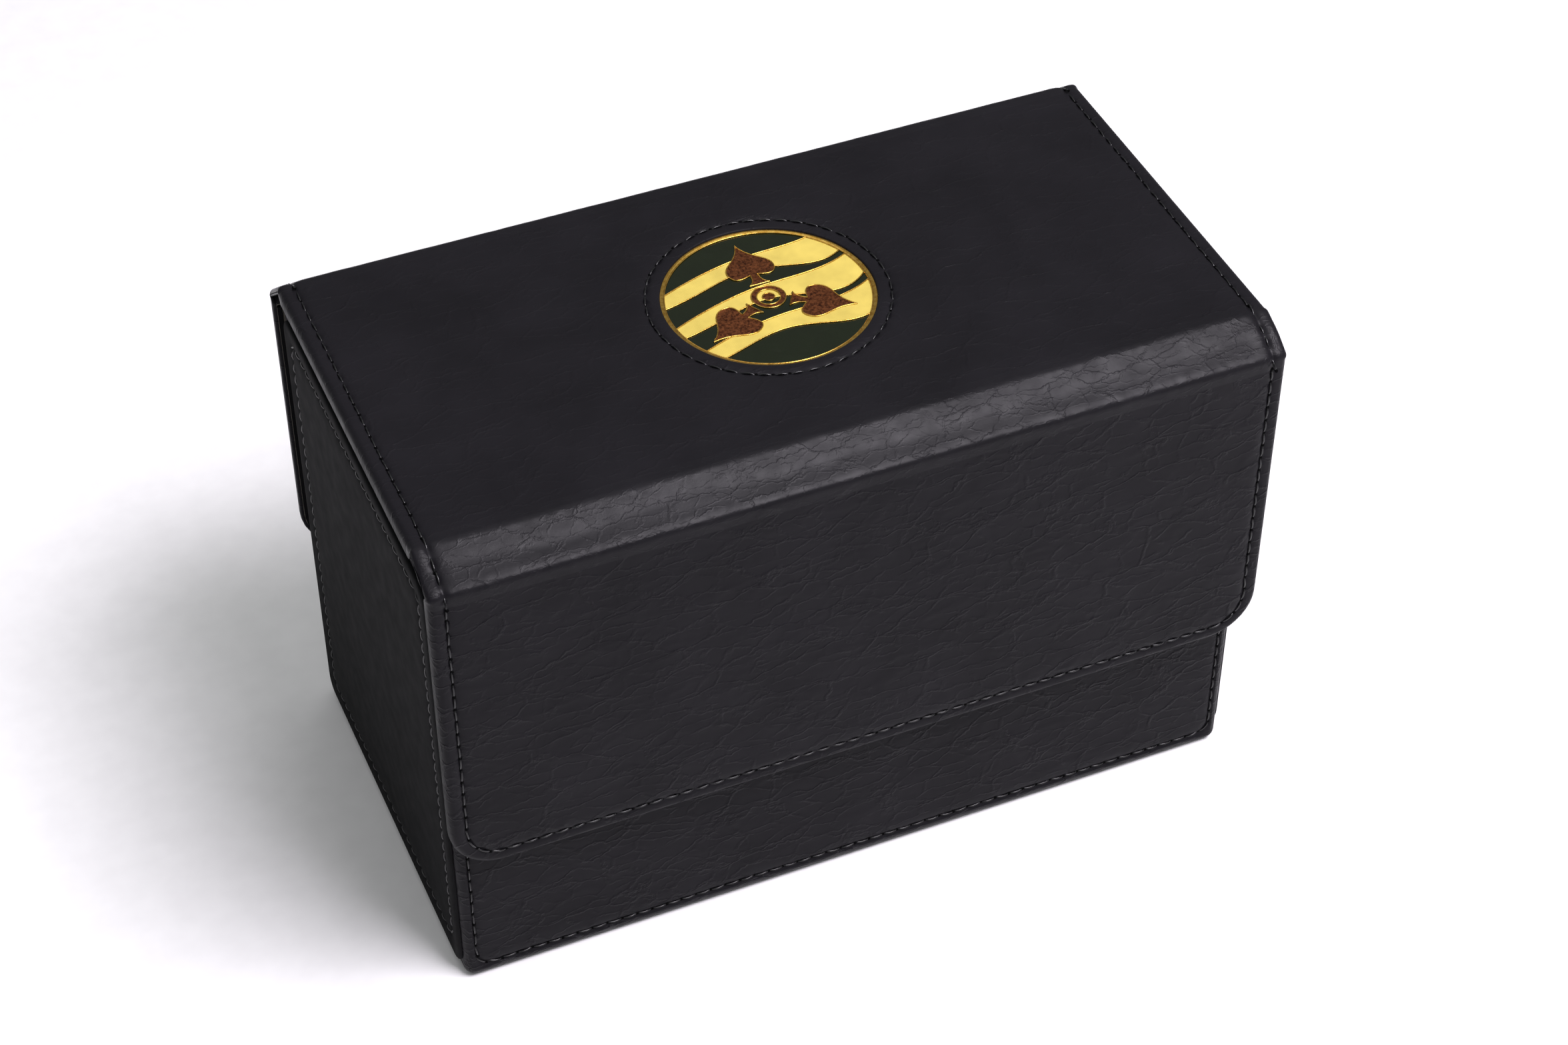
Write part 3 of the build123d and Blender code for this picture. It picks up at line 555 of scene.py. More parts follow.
def strip_relief(path, x, s):
    """How far the strip's outer face stands out from its path."""
    settings = bpy.context.scene.deck_box_leather
    pitch = bpy.context.scene.deck_box_stitches.pitch / MM
    rear_lower, rear_upper, front_upper, front_lower = path.creases
    top = smooth_step(s, rear_upper, rear_upper + 3) * (1 - smooth_step(s, front_upper - 2, front_upper))
    rear = smooth_step(s, rear_lower - 1, rear_lower) * (1 - smooth_step(s, rear_upper, rear_upper + 3))
    front_band = smooth_step(s, front_upper - 1, front_upper + 1) * (
        1 - smooth_step(s, front_lower, front_lower + 1))
    # The lid's top is nearly plain, and its folds grow towards the front right.
    towards_front_right = smooth_step(x, 0, 80) * smooth_step(s, rear_upper + 20, front_upper)
    on_top = 0.20 + 0.60 * towards_front_right
    strength = 1 - top * (1 - on_top) - 0.5 * rear - 0.75 * front_band
    folds = crinkle_folds(x, s, 3.0) * strength * settings.fold / MM
    outline = rounded_distance(x, s - path.length / 2, HALF, path.length / 2, FLAP_RADIUS)
    seam = outline + SEAM_INSET
    along = np.where(np.abs(x) > HALF - FLAP_RADIUS, s, x)
    # They fade at the edge, and are faint outside the seam.
    folds *= smooth_step(-outline, 0.3, 2.0) * (0.1 + 0.9 * smooth_step(-seam, 0, 1.5))
    relief = folds - seam_groove(seam, along, pitch)
    # The leathercloth is pulled down by the seam round the coin and rolls over at the window.
    window_s = front_upper + LID_LOW[1]
    out = np.hypot(x, s - window_s)
    turn = np.arctan2(s - window_s, x)
    round_coin = seam_groove(out - COIN_SEAM, turn * COIN_SEAM, pitch)
    relief -= np.where(out < COIN_SEAM + 6, round_coin, 0)
    relief -= 0.18 * np.where(out < COIN_SEAM, smooth_step(COIN_SEAM - out, 0.8, 3.0), 0)
    # Outside the seam the turned edge is padded and rolls over.
    relief -= 0.40 * np.clip(1 + outline / SEAM_INSET, 0, 1) ** 2
    # The front band has a long soft fold along its middle and short folds across each crease.
    middle = (front_upper + front_lower) / 2
    wander = np.array([noise.noise(Vector((v / 23.0, 0.0, 5.0))) for v in x])
    relief -= 0.07 * front_band * bell(s - middle - 1.6 * wander, 1.3)
    for crease, reach in ((front_upper, 1.3), (front_lower, 1.5)):
        close = bell(s - crease, reach)
        near = np.flatnonzero(close > 0.02)
        pleat = np.array([noise.noise(Vector((x[i] / 1.5, s[i] / 5.0, crease))) for i in near])
        relief[near] += 0.10 * close[near] * np.clip(pleat, -0.2, 1)
    # It is proud just above the lower crease, where it is pulled over the flap's board.
    relief += 0.11 * front_band * bell(s - front_lower + 1.4, 1.3)
    # The band's free ends: dented at the left, bulging at the right.
    dented = smooth_step(-x, HALF - 4.5, HALF - 1)
    bulging = smooth_step(x, HALF - 7, HALF)
    relief -= 0.32 * front_band * dented * bell(s - middle, 1.6)
    relief += 0.55 * front_band * bulging * bell(s - middle, 3.0)
    return relief


# ---------------------------------------------------------------- a skin over a board
SHARP = math.radians(50)  # faces that meet at more than this keep a sharp edge


class Skin:
    """Collects the vertices of a turned-edge leathercloth skin, each as (x, s, depth, is outer)."""

    def __init__(self):
        self.flat = []
        self.faces = []

    def add(self, x, s, depth, outer):
        """Adds a vertex and gives its number."""
        self.flat.append((x, s, depth, outer))
        return len(self.flat) - 1

    def rows(self, chains):
        """Quads between neighbouring chains of vertices."""
        for first, second in zip(chains, chains[1:]):
            for i in range(len(first) - 1):
                self.faces.append((first[i], first[i + 1], second[i + 1], second[i]))


# Distances in from the outline of the border's rings, and angles of those on the turned edge.
BORDER_RINGS = (4.4, 3.95, 3.65, 3.4, 3.2, 3.0, 2.8, 2.5, 2.1, 1.65, 1.3)
EDGE_ANGLES = np.radians((0, 20, 40, 60, 78, 90))


def edge_rings(depth):
    """The rings of a turned edge, from the border inwards out: (offset from outline, depth, outer)."""
    edge = min(EDGE, 0.5 * depth)
    rings = [(-distance, 0.0, True) for distance in BORDER_RINGS]
    for angle in EDGE_ANGLES:
        rings.append((-edge * (1 - math.sin(angle)), edge * (1 - math.cos(angle)), True))
    lower = min(0.35, 0.3 * depth)  # rounding of the inner edge
    rings += [(0.0, (edge + depth - lower) / 2, False), (0.0, depth - lower, False),
              (-0.3 * lower, depth - 0.3 * lower, False), (-lower, depth, False),
              (-LEATHER, depth, False), (-LEATHER, min(LEATHER, depth - 0.1), False)]
    return rings


def skin_mesh(name, ends, rounded, rows, columns, depth_at, place, window=None):
    """A closed skin over a board: a grid with rounded corners, a turned edge and an inner face.

    ends are the s of the two ends, rounded says which of them has corners, depth_at gives the
    depth at an s and place turns (x, s, depth, outer) arrays to points in millimetres.
    """
    steps = 9
    inner_radius = FLAP_RADIUS - BORDER
    half = HALF - BORDER
    table = []  # s, half width, angle of the end's outward direction
    if rounded[0]:
        for angle in np.linspace(-math.pi / 2, 0, steps, endpoint=False):
            table.append((ends[0] + FLAP_RADIUS + inner_radius * math.sin(angle),
                          HALF - FLAP_RADIUS + inner_radius * math.cos(angle), angle))
        table.append((ends[0] + FLAP_RADIUS, half, 0.0))
    table += [(s, half, 0.0) for s in rows]
    if rounded[1]:
        table.append((ends[1] - FLAP_RADIUS, half, 0.0))
        for angle in np.linspace(0, math.pi / 2, steps + 1)[1:]:
            table.append((ends[1] - FLAP_RADIUS + inner_radius * math.sin(angle),
                          HALF - FLAP_RADIUS + inner_radius * math.cos(angle), angle))
    skin = Skin()
    last = len(table) - 1
    count = len(columns)
    grid = [[skin.add(c * width / half, s, 0.0, True) for c in columns] for s, width, _ in table]

    def station(r, c):
        """Ring vertices that stand outside one boundary vertex of the grid."""
        x, s = skin.flat[grid[r][c]][:2]
        angle = table[r][2]
        side = -1 if c == 0 else 1
        across, down = (side * math.cos(angle), math.sin(angle)) if c in (0, count - 1) else (
            0.0, 1.0 if r == last else -1.0)
        return [skin.add(x + across * (BORDER + o), s + down * (BORDER + o), d, outer)
                for o, d, outer in edge_rings(depth_at(s))]

    left = {r: station(r, 0) for r in range(last + 1)}
    right = {r: station(r, count - 1) for r in range(last + 1)}
    chains = [[[grid[r][0]] + left[r] for r in range(last + 1)],
              [[grid[r][count - 1]] + right[r] for r in range(last + 1)]]
    for r, flag in ((0, rounded[0]), (last, rounded[1])):
        if flag:
            across = [[grid[r][c]] + station(r, c) for c in range(1, count - 1)]
            chains.append([[grid[r][0]] + left[r]] + across + [[grid[r][count - 1]] + right[r]])
    for chain in chains:
        skin.rows(chain)

    hole = window_rings(skin, grid, window) if window else None
    for r in range(last):
        for c in range(count - 1):
            if hole and hole["top"] <= r < hole["foot"] and hole["left"] <= c < hole["right"]:
                continue
            skin.faces.append((grid[r][c], grid[r][c + 1], grid[r + 1][c + 1], grid[r + 1][c]))

    # The inner face, against the board.
    straight = [r for r in range(last + 1) if table[r][2] == 0.0]
    if hole:
        cut = min(straight, key=lambda r: abs(table[r][0] - hole["s"]))
        ring = hole["ring"]
        upper = ring[:hole["half"] + 1]
        lower = ring[hole["half"]:] + ring[:1]
        skin.faces.append([left[r][-1] for r in range(cut, -1, -1)]
                          + [right[r][-1] for r in range(cut + 1)] + upper)
        skin.faces.append([right[r][-1] for r in range(cut, last + 1)]
                          + [left[r][-1] for r in range(last, cut - 1, -1)] + lower)
    else:
        for r, after in zip(straight, straight[1:]):
            skin.faces.append((left[r][-1], left[after][-1], right[after][-1], right[r][-1]))
        for r, flag, tip in ((straight[0], rounded[0], 0), (straight[-1], rounded[1], last)):
            if flag:
                step = 1 if tip > r else -1
                chain = chains[-1] if tip == last else chains[2]
                skin.faces.append([left[i][-1] for i in range(r, tip, step)]
                                  + [column[-1] for column in chain]
                                  + [right[i][-1] for i in range(tip - step, r - step, -step)])
    # Cut ends, where the skin goes on in the next piece.
    for r, flag in ((0, rounded[0]), (last, rounded[1])):
        if not flag:
            skin.faces.append(left[r][::-1] + grid[r] + right[r])
    return make_mesh(name, skin, place)


# Shares of the way from the window's square in to its round border, and the border's rings, in mm
# out from the window's edge.
WINDOW_SHARES = (0.2, 0.4, 0.6, 0.8, 1.0)
WINDOW_RINGS = (3.6, 3.3, 3.05, 2.85, 2.65, 2.4, 2.0, 1.5, 1.0, 0.6, 0.35)
WINDOW_EDGE = 0.35  # rounding of the window's cut edge


def window_rings(skin, grid, window):
    """Rings from a square of the grid in to the coin's round window, and down its cut edge."""
    centre_s, square, radius, rim = window
    xs = [skin.flat[i][0] for i in grid[0]]
    ss = [skin.flat[row[0]][1] for row in grid]
    left = min(range(len(xs)), key=lambda i: abs(xs[i] + square))
    right = min(range(len(xs)), key=lambda i: abs(xs[i] - square))
    top = min(range(len(ss)), key=lambda i: abs(ss[i] - centre_s + square))
    foot = min(range(len(ss)), key=lambda i: abs(ss[i] - centre_s - square))
    middle = min(range(len(ss)), key=lambda i: abs(ss[i] - centre_s))
    # Round the square from the middle of its right side, over the top and down the left.
    around = [(r, right) for r in range(middle, top, -1)]
    around += [(top, c) for c in range(right, left, -1)]
    around += [(r, left) for r in range(top, foot)]
    around += [(foot, c) for c in range(left, right)]
    around += [(r, right) for r in range(foot, middle, -1)]
    chains = []
    for r, c in around:
        start = grid[r][c]
        x, s = skin.flat[start][:2]
        reach = math.hypot(x, s - centre_s)
        across, down = x / reach, (s - centre_s) / reach
        chain = [start]
        for share in WINDOW_SHARES:
            here = reach + (rim - reach) * share
            chain.append(skin.add(across * here, centre_s + down * here, 0.0, True))
        for gap in WINDOW_RINGS:
            here = radius + gap
            chain.append(skin.add(across * here, centre_s + down * here, 0.0, True))
        for angle in np.radians((25, 50, 75, 90)):
            here = radius + WINDOW_EDGE * (1 - math.sin(angle))
            deep = WINDOW_EDGE * (1 - math.cos(angle))
            chain.append(skin.add(across * here, centre_s + down * here, deep, True))
        chain.append(skin.add(across * radius, centre_s + down * radius, LEATHER, False))
        chains.append(chain)
    skin.rows(chains + chains[:1])
    return {"left": left, "right": right, "top": top, "foot": foot, "s": centre_s,
            "ring": [chain[-1] for chain in chains], "half": 2 * (middle - top) + right - left}


def make_mesh(name, skin, place):
    """An object from a skin: its points placed, faces outwards and smooth, corners kept sharp."""
    if not skin.faces:
        raise RuntimeError(f"no faces were made for {name}")
    flat = np.array(skin.flat, float)
    points = place(flat[:, 0], flat[:, 1], flat[:, 2], flat[:, 3] > 0.5) * MM
    data = bpy.data.meshes.new(name)
    data.from_pydata([tuple(p) for p in points], [], [tuple(f) for f in skin.faces])
    shape = bmesh.new()
    shape.from_mesh(data)
    bmesh.ops.recalc_face_normals(shape, faces=shape.faces)
    for face in shape.faces:
        face.smooth = True
    for edge in shape.edges:
        if len(edge.link_faces) == 2 and edge.calc_face_angle(0.0) > SHARP:
            edge.smooth = False
    shape.to_mesh(data)
    shape.free()
    return linked(name, data)


def linked(name, data):
    """An object of the scene for a mesh."""
    piece = bpy.data.objects.new(name, data)
    bpy.context.scene.collection.objects.link(piece)
    return piece


def spread(stops, spacing):
    """Positions through all the stops in turn, each interval cut evenly to about the spacing."""
    out = [stops[0]]
    for start, end in zip(stops, stops[1:]):
        count = max(1, round((end - start) / spacing))
        out += list(np.linspace(start, end, count + 1)[1:])
    return out


def strip_place(path):
    """The placing function of the strip's leathercloth."""
    def place(x, s, depth, outer):
        point, normal = path.at(s)
        out = np.zeros(len(x))
        out[outer] = strip_relief(path, x[outer], s[outer])
        out -= depth
        return np.column_stack((x, point[:, 0] + out * normal[:, 0], point[:, 1] + out * normal[:, 1]))
    return place


CREASE_REACH = 1.0  # attach finds the path's points this far each side of a crease, and does not use them
OVERRUN = 2.6  # a band's leathercloth runs this far on over the boards
HOLD = 1.6  # depth of the leathercloth and padding in a band
WINDOW_SQUARE = 30.0  # half the square of the lid's grid that the window's rings replace


def strip_sections(path):
    """Name, s range, crease and the two bodies of each length of the strip, from back to front."""
    rear_lower, rear_upper, front_upper, front_lower = path.creases
    rear = (rear_lower + rear_upper) / 2
    front = (front_upper + front_lower) / 2
    return [
        ("back_flap", 0.0, rear_lower - OVERRUN, None, ("box",)),
        ("rear_band_lower", rear_lower - OVERRUN, rear, REAR_LOWER, ("box", "rear_band")),
        ("rear_band_upper", rear, rear_upper + OVERRUN, REAR_UPPER, ("rear_band", "lid_top")),
        ("lid_top", rear_upper + OVERRUN, front_upper - OVERRUN, None, ("lid_top",)),
        ("front_band_upper", front_upper - OVERRUN, front, FRONT_UPPER, ("lid_top", "front_band")),
        ("front_band_lower", front, front_lower + OVERRUN, FRONT_LOWER, ("front_band", "flap")),
        ("flap", front_lower + OVERRUN, path.length, None, ("flap",)),
    ]


def attach(piece, path, crease, bodies):
    """Rides a piece on its one body; a piece at a crease rides on none, and only has its transform baked
    into its mesh.
    """
    if crease is None:
        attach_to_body(piece, bodies[0])
        return
    middle = path.creases[crease]
    at, _ = path.at(np.array([middle - CREASE_REACH, middle + CREASE_REACH]))
    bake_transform(piece)


class DECKBOX_OT_strip(bpy.types.Operator):
    """Make the lid's leathercloth: back flap, rear band, top with its window, front band and flap"""

    bl_idname = "deckbox.strip"
    bl_label = "Lid leathercloth"

    def execute(self, context):
        path = strip_path()
        place = strip_place(path)
        spacing = context.scene.deck_box_leather.mesh / MM
        coarse, band_spacing = 1.8, 0.34
        replaced = {
            "back_flap": "back_flap_cover", "rear_band_lower": "rear_hinge_band",
            "lid_top": "lid_cover", "front_band_lower": "front_hinge_band", "flap": "flap_cover",
        }
        window_s = path.creases[FRONT_UPPER] + LID_LOW[1]
        for name, start, end, crease, bodies in strip_sections(path):
            step = spacing * (coarse if name == "back_flap" else 1.0)
            columns = spread([-(HALF - BORDER), -WINDOW_SQUARE, WINDOW_SQUARE, HALF - BORDER], step)
            stops = [start, end]
            window = None
            material = "Crinkled_leathercloth"
            if name == "back_flap":
                stops[0] = start + FLAP_RADIUS + spacing
            if name == "flap":
                stops[1] = end - FLAP_RADIUS - spacing
            if name == "lid_top":
                stops = [start, window_s - WINDOW_SQUARE, window_s + WINDOW_SQUARE, end]
                window = (window_s, WINDOW_SQUARE, COIN_SEAM - 2.8, 25.4)
                material = "Lid_leathercloth"
            if crease is not None:
                step = band_spacing
                material = "Band_leathercloth"
            piece = skin_mesh(
                "leather_" + name, (start, end), (name == "back_flap", name == "flap"),
                spread(stops, step), columns,
                lambda s: float(strip_depth(path, np.array([s]), HOLD)[0]), place, window)
            piece.data.materials.append(finish(material))
            attach(piece, path, crease, bodies)
            if name in replaced:
                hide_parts(replaced[name])
        return {"FINISHED"}


SHEET = 0.4  # thickness of the suede inside the lid, and of a turned-in margin
LINING_DEEP = 1.1  # depth of the suede in a band
GAP = 0.05  # clearance of a glued sheet's edge
TURNED_IN = 0.3  # how far the back flap's turned-in margins stand out from its board
TURNED_IN_FOOT = 5.0  # they start this far above its foot, where its corner leaves the body's side


def lining_half(path, s):
    """Half the width inside the turned edge at s, narrower at the two ends' round corners."""
    radius = FLAP_RADIUS - LEATHER
    over = max(0.0, s - (path.length - FLAP_RADIUS), FLAP_RADIUS - s)
    inner = HALF - LEATHER - GAP
    return inner - radius + math.sqrt(max(0.0, radius ** 2 - min(over, radius) ** 2))


def add_sheet(skin, path, sections):
    """A closed thin sheet inside the strip, through sections of (s, left x, right x, rise)."""
    chains = []
    for s, left, right, rise in sections:
        deep = float(strip_depth(path, np.array([s]), LINING_DEEP)[0]) + rise
        chains.append([skin.add(x, s, depth, False) for x, depth in (
            (left, deep), (right, deep), (right, deep - SHEET), (left, deep - SHEET))])
    for first, second in zip(chains, chains[1:]):
        for i in range(4):
            j = (i + 1) % 4
            skin.faces.append((first[i], first[j], second[j], second[i]))
    skin.faces.append(tuple(chains[0]))
    skin.faces.append(tuple(chains[-1]))


class DECKBOX_OT_strip_lining(bpy.types.Operator):
    """Make the suede inside the lid, and the margins turned in behind the body's back flap"""

    bl_idname = "deckbox.strip_lining"
    bl_label = "Lid lining"

    def execute(self, context):
        path = strip_path()
        replaced = {"rear_band_lower": "rear_hinge_lining", "lid_top": "lid_lining",
                    "front_band_lower": "front_hinge_lining", "flap": "flap_lining"}

        def place(x, s, depth, outer):
            point, normal = path.at(s)
            return np.column_stack((x, point[:, 0] - depth * normal[:, 0],
                                    point[:, 1] - depth * normal[:, 1]))

        for name, start, end, crease, bodies in strip_sections(path):
            skin = Skin()
            if name == "back_flap":
                # Only its overhang beside the body is lined, by the leathercloth's own margins.
                body = WRAP_HIGH[0] + GAP
                rows = [(s, lining_half(path, s)) for s in spread([start + TURNED_IN_FOOT, end], 4.0)]
                for side in (-1, 1):
                    add_sheet(skin, path, [(s, *sorted((side * body, side * half)), TURNED_IN)
                                           for s, half in rows])
                piece = make_mesh("turned_in_margins", skin, place)
                piece.data.materials.append(finish("Plain_leathercloth"))
            else:
                foot = end - LEATHER - GAP if name == "flap" else end
                rows = [(s, lining_half(path, s))
                        for s in spread([start, foot], 4.0 if crease is None else 0.4)]
                add_sheet(skin, path, [(s, -half, half, 0.0) for s, half in rows])
                piece = make_mesh("lining_" + name, skin, place)
                piece.data.materials.append(finish("Microfibre_suede"))
            attach(piece, path, crease, bodies)
            if name in replaced:
                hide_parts(replaced[name])
        return {"FINISHED"}


# ---------------------------------------------------------------- the body
SEAM_REACH = 1.2  # a mesh is fine this far to the inside of a seam
RIM = 0.6  # rounding of the body's rim


def graded(low, seam_low, seam_high, high, fine, coarse):
    """Positions from low to high: fine ones to just inside each seam and coarse ones between."""
    near, far = seam_low + SEAM_REACH, seam_high - SEAM_REACH
    return sorted(set(spread([low, near], fine) + spread([near, far], coarse) + spread([far, high], fine)))


def corner(x, y, start):
    """Stations round one corner, without its two ends."""
    return [(x, y, math.cos(a), math.sin(a)) for a in np.radians(np.linspace(start, start + 90, 9)[1:-1])]


def wrap_stations(spacing):
    """Stations round the body, anticlockwise from the front left: x, y and outward direction."""
    half_x, half_y = WRAP_HIGH[0] - WRAP_RADIUS, WRAP_HIGH[1] - WRAP_RADIUS
    front, back = (
        [-half_x] + graded(-half_x + 0.1, -WALL_SEAM_X, WALL_SEAM_X, half_x - 0.1, fine, coarse) + [half_x]
        for fine, coarse in ((0.22, spacing), (0.3, 1.6)))
    side = spread([-half_y, half_y], 2.4)
    out = [(x, -half_y, 0.0, -1.0) for x in front]
    out += corner(half_x, -half_y, -90) + [(half_x, y, 1.0, 0.0) for y in side]
    out += corner(half_x, half_y, 0) + [(x, half_y, 0.0, 1.0) for x in back[::-1]]
    out += corner(-half_x, half_y, 90) + [(-half_x, y, -1.0, 0.0) for y in side[::-1]]
    out += corner(-half_x, -half_y, 180)
    return out


def wrap_relief(x, y, z, outward_y):
    """How far the body's leathercloth stands out on the front and back walls."""
    settings = bpy.context.scene.deck_box_leather
    pitch = bpy.context.scene.deck_box_stitches.pitch / MM
    wall = np.abs(outward_y) > 0.999
    relief = np.zeros(len(x))
    foot = WALL_SEAM_FOOT
    head = WALL_HIGH[2] + 40.0  # the seam's sides run up out of sight
    distance = rounded_distance(x[wall], z[wall] - (foot + head) / 2, WALL_SEAM_X, (head - foot) / 2,
                                WALL_SEAM_RADIUS)
    folds = crinkle_folds(x[wall], z[wall] + np.sign(y[wall]) * 50, 21.0) * 0.8 * settings.fold / MM
    along = np.where(np.abs(x[wall]) > WALL_SEAM_X - 3, z[wall], x[wall])
    edge = np.minimum(z[wall] - WRAP_LOW[2], WRAP_HIGH[0] - np.abs(x[wall]))
    relief[wall] = folds * smooth_step(edge, 2.2, 3.6) - seam_groove(distance, along, pitch)
    relief[wall] *= smooth_step(BODY_TOP - z[wall], 0.5, 3.0)
    return relief


def wrap_profile(spacing):
    """The wrap's section from the foot's inner edge, up the wall and over the rim: offset in, z."""
    foot = WRAP_LOW[2]
    turned_under = 4.2
    profile = [(turned_under, foot + LEATHER), (turned_under, foot), (WRAP_RADIUS, foot)]
    profile += [(WRAP_RADIUS * (1 - math.sin(a)), foot + WRAP_RADIUS * (1 - math.cos(a)))
                for a in np.radians((15, 30, 45, 60, 75, 90))]
    seam_head, hidden = WALL_SEAM_FOOT + 1.4, FLAP_LOW[2] + 6
    levels = spread([foot + WRAP_RADIUS + 0.2, seam_head], 0.24)
    levels += spread([seam_head, hidden], spacing)[1:]
    levels += spread([hidden, BODY_TOP - RIM - 0.4], 2.6)[1:]
    profile += [(0.0, z) for z in levels]
    profile += [(RIM * (1 - math.cos(a)), BODY_TOP - RIM * (1 - math.sin(a)))
                for a in np.radians((0, 25, 50, 70, 90))]
    inner = WRAP_HIGH[1] - abs(LINING_HIGH[1])
    return profile + [(inner - 0.2, BODY_TOP), (inner, BODY_TOP - 0.2), (inner, BODY_TOP - LEATHER),
                      (LEATHER, BODY_TOP - LEATHER - 0.02), (LEATHER, foot + WRAP_RADIUS),
                      (WRAP_RADIUS, foot + LEATHER)]


class DECKBOX_OT_body_wrap(bpy.types.Operator):
    """Make the leathercloth wrapped round the body, over its rim and under its foot"""

    bl_idname = "deckbox.body_wrap"
    bl_label = "Body leathercloth"

    def execute(self, context):
        spacing = context.scene.deck_box_leather.mesh / MM * 1.2
        stations = wrap_stations(spacing)
        profile = wrap_profile(spacing)
        x, y, nx, ny = np.tile(np.array(stations), (len(profile), 1)).T
        offset, z = np.repeat(np.array(profile), len(stations), axis=0).T
        reach = WRAP_RADIUS - offset
        # Inside the corner's radius a station goes straight in, towards the wall's own middle.
        inwards_x = np.sign(x) * np.where(np.abs(ny) > 0.999, 0, 1)
        inwards_y = np.sign(y) * np.where(np.abs(nx) > 0.999, 0, 1)
        px = x + np.where(reach > 0, nx * reach, inwards_x * reach)
        py = y + np.where(reach > 0, ny * reach, inwards_y * reach)
        limit_x, limit_y = WRAP_HIGH[0] - offset, WRAP_HIGH[1] - offset
        px, py = np.clip(px, -limit_x, limit_x), np.clip(py, -limit_y, limit_y)
        outer = (offset <= 0) & (z > WRAP_LOW[2] + WRAP_RADIUS + 0.1)
        relief = np.zeros(len(x))
        relief[outer] = wrap_relief(px[outer], py[outer], z[outer], ny[outer])
        py = py + relief * ny
        px = px + relief * nx
        # The back rim is bevelled to clear the rear band.
        slope = (LID_HIGH[2] - BACK_HIGH[2]) / (BACK_HIGH[1] - LID_HIGH[1])
        clear = 1.35 * math.hypot(1, slope)  # 1.35 mm at right angles to the band
        bevel = np.minimum(BODY_TOP, BACK_HIGH[2] - (py - BACK_HIGH[1]) * slope - clear)
        low = BODY_TOP - 9.5  # the bevel's height is taken up above this level
        z = np.where(z > low, low + (z - low) * (bevel - low) / (BODY_TOP - low), z)
        skin = Skin()
        skin.flat = list(zip(px, py, z, np.zeros(len(px))))
        count = len(stations)
        for p in range(len(profile)):
            after = (p + 1) % len(profile)
            for i in range(count):
                j = (i + 1) % count
                skin.faces.append((p * count + i, p * count + j, after * count + j, after * count + i))
        piece = make_mesh("leather_body", skin, lambda a, b, c, d: np.column_stack((a, b, c)))
        piece.data.materials.append(finish("Crinkled_leathercloth"))
        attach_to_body(piece, "box")
        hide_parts("body_wrap")
        return {"FINISHED"}


def side_place(side, half, low, high, pitch):
    """The placing function of a side panel, side being -1 for the left one and 1 for the right."""
    def place(v, s, depth, outer):
        seam = rounded_distance(v, s - (SIDE_SEAM_FOOT + SIDE_SEAM_HEAD) / 2, SIDE_SEAM_X,
                                (SIDE_SEAM_HEAD - SIDE_SEAM_FOOT) / 2, SIDE_SEAM_RADIUS)
        outline = rounded_distance(v, s - (low + high) / 2, half, (high - low) / 2, SIDE_RADIUS)
        along = np.where(np.abs(v) > SIDE_SEAM_X - 2, s, v)
        relief = -0.8 * seam_groove(seam, along, pitch)
        # The edge strip outside the seam is a little proud, with a soft roll.
        relief += 0.10 * bell(outline + 1.3, 0.9)
        swell = np.array([noise.noise(Vector((a / 24, b / 20, side + 5.0))) for a, b in zip(v, s)])
        relief += 0.12 * swell * smooth_step(-outline, 1, 8)
        out = np.where(outer, relief, 0) - depth
        return np.column_stack((side * (abs(SIDE_LOW[0]) + out), v, s))
    return place


# Distances out from the panel's grid of the rings over its edge, each with its depth.
SIDE_RINGS = ((0.6, 0), (1.2, 0), (1.8, 0), (2.3, 0), (2.8, 0), (3.2, 0), (3.55, 0.04), (3.8, 0.14),
              (3.95, 0.32), (4.0, 0.5))


def side_panel(name, rows, columns, place):
    """A panel glued flat on the body: a rounded grid with a thin rolled edge and a back face."""
    skin = Skin()
    grid = [[skin.add(c, s, 0.0, True) for c in columns] for s in rows]
    last, count = len(rows) - 1, len(columns)
    skin.rows(grid)
    rings = SIDE_RINGS + ((SIDE_RADIUS, SIDE_HIGH[0] - SIDE_LOW[0]),)
    quarter = np.radians(np.linspace(0, 90, 9))
    # Round the grid's border: a vertex and its outward direction, a corner's vertex many times.
    loop = [(grid[r][0], -1.0, 0.0) for r in range(last, -1, -1)]
    loop += [(grid[0][0], -math.cos(a), -math.sin(a)) for a in quarter[1:]]
    loop += [(grid[0][c], 0.0, -1.0) for c in range(1, count)]
    loop += [(grid[0][-1], math.sin(a), -math.cos(a)) for a in quarter[1:]]
    loop += [(grid[r][-1], 1.0, 0.0) for r in range(1, last + 1)]
    loop += [(grid[last][-1], math.cos(a), math.sin(a)) for a in quarter[1:]]
    loop += [(grid[last][c], 0.0, 1.0) for c in range(count - 2, -1, -1)]
    loop += [(grid[last][0], -math.sin(a), math.cos(a)) for a in quarter[1:-1]]
    chains = []
    for start, across, down in loop:
        x, s = skin.flat[start][:2]
        chains.append([start] + [skin.add(x + across * o, s + down * o, d, True) for o, d in rings])
    chains.append(chains[0])
    for first, second in zip(chains, chains[1:]):
        for i in range(len(first) - 1):
            face = (first[i], first[i + 1], second[i + 1], second[i])
            skin.faces.append(face if first[i] != second[i] else face[:3])
    skin.faces.append([chain[-1] for chain in chains[:-1]])
    return make_mesh(name, skin, place)


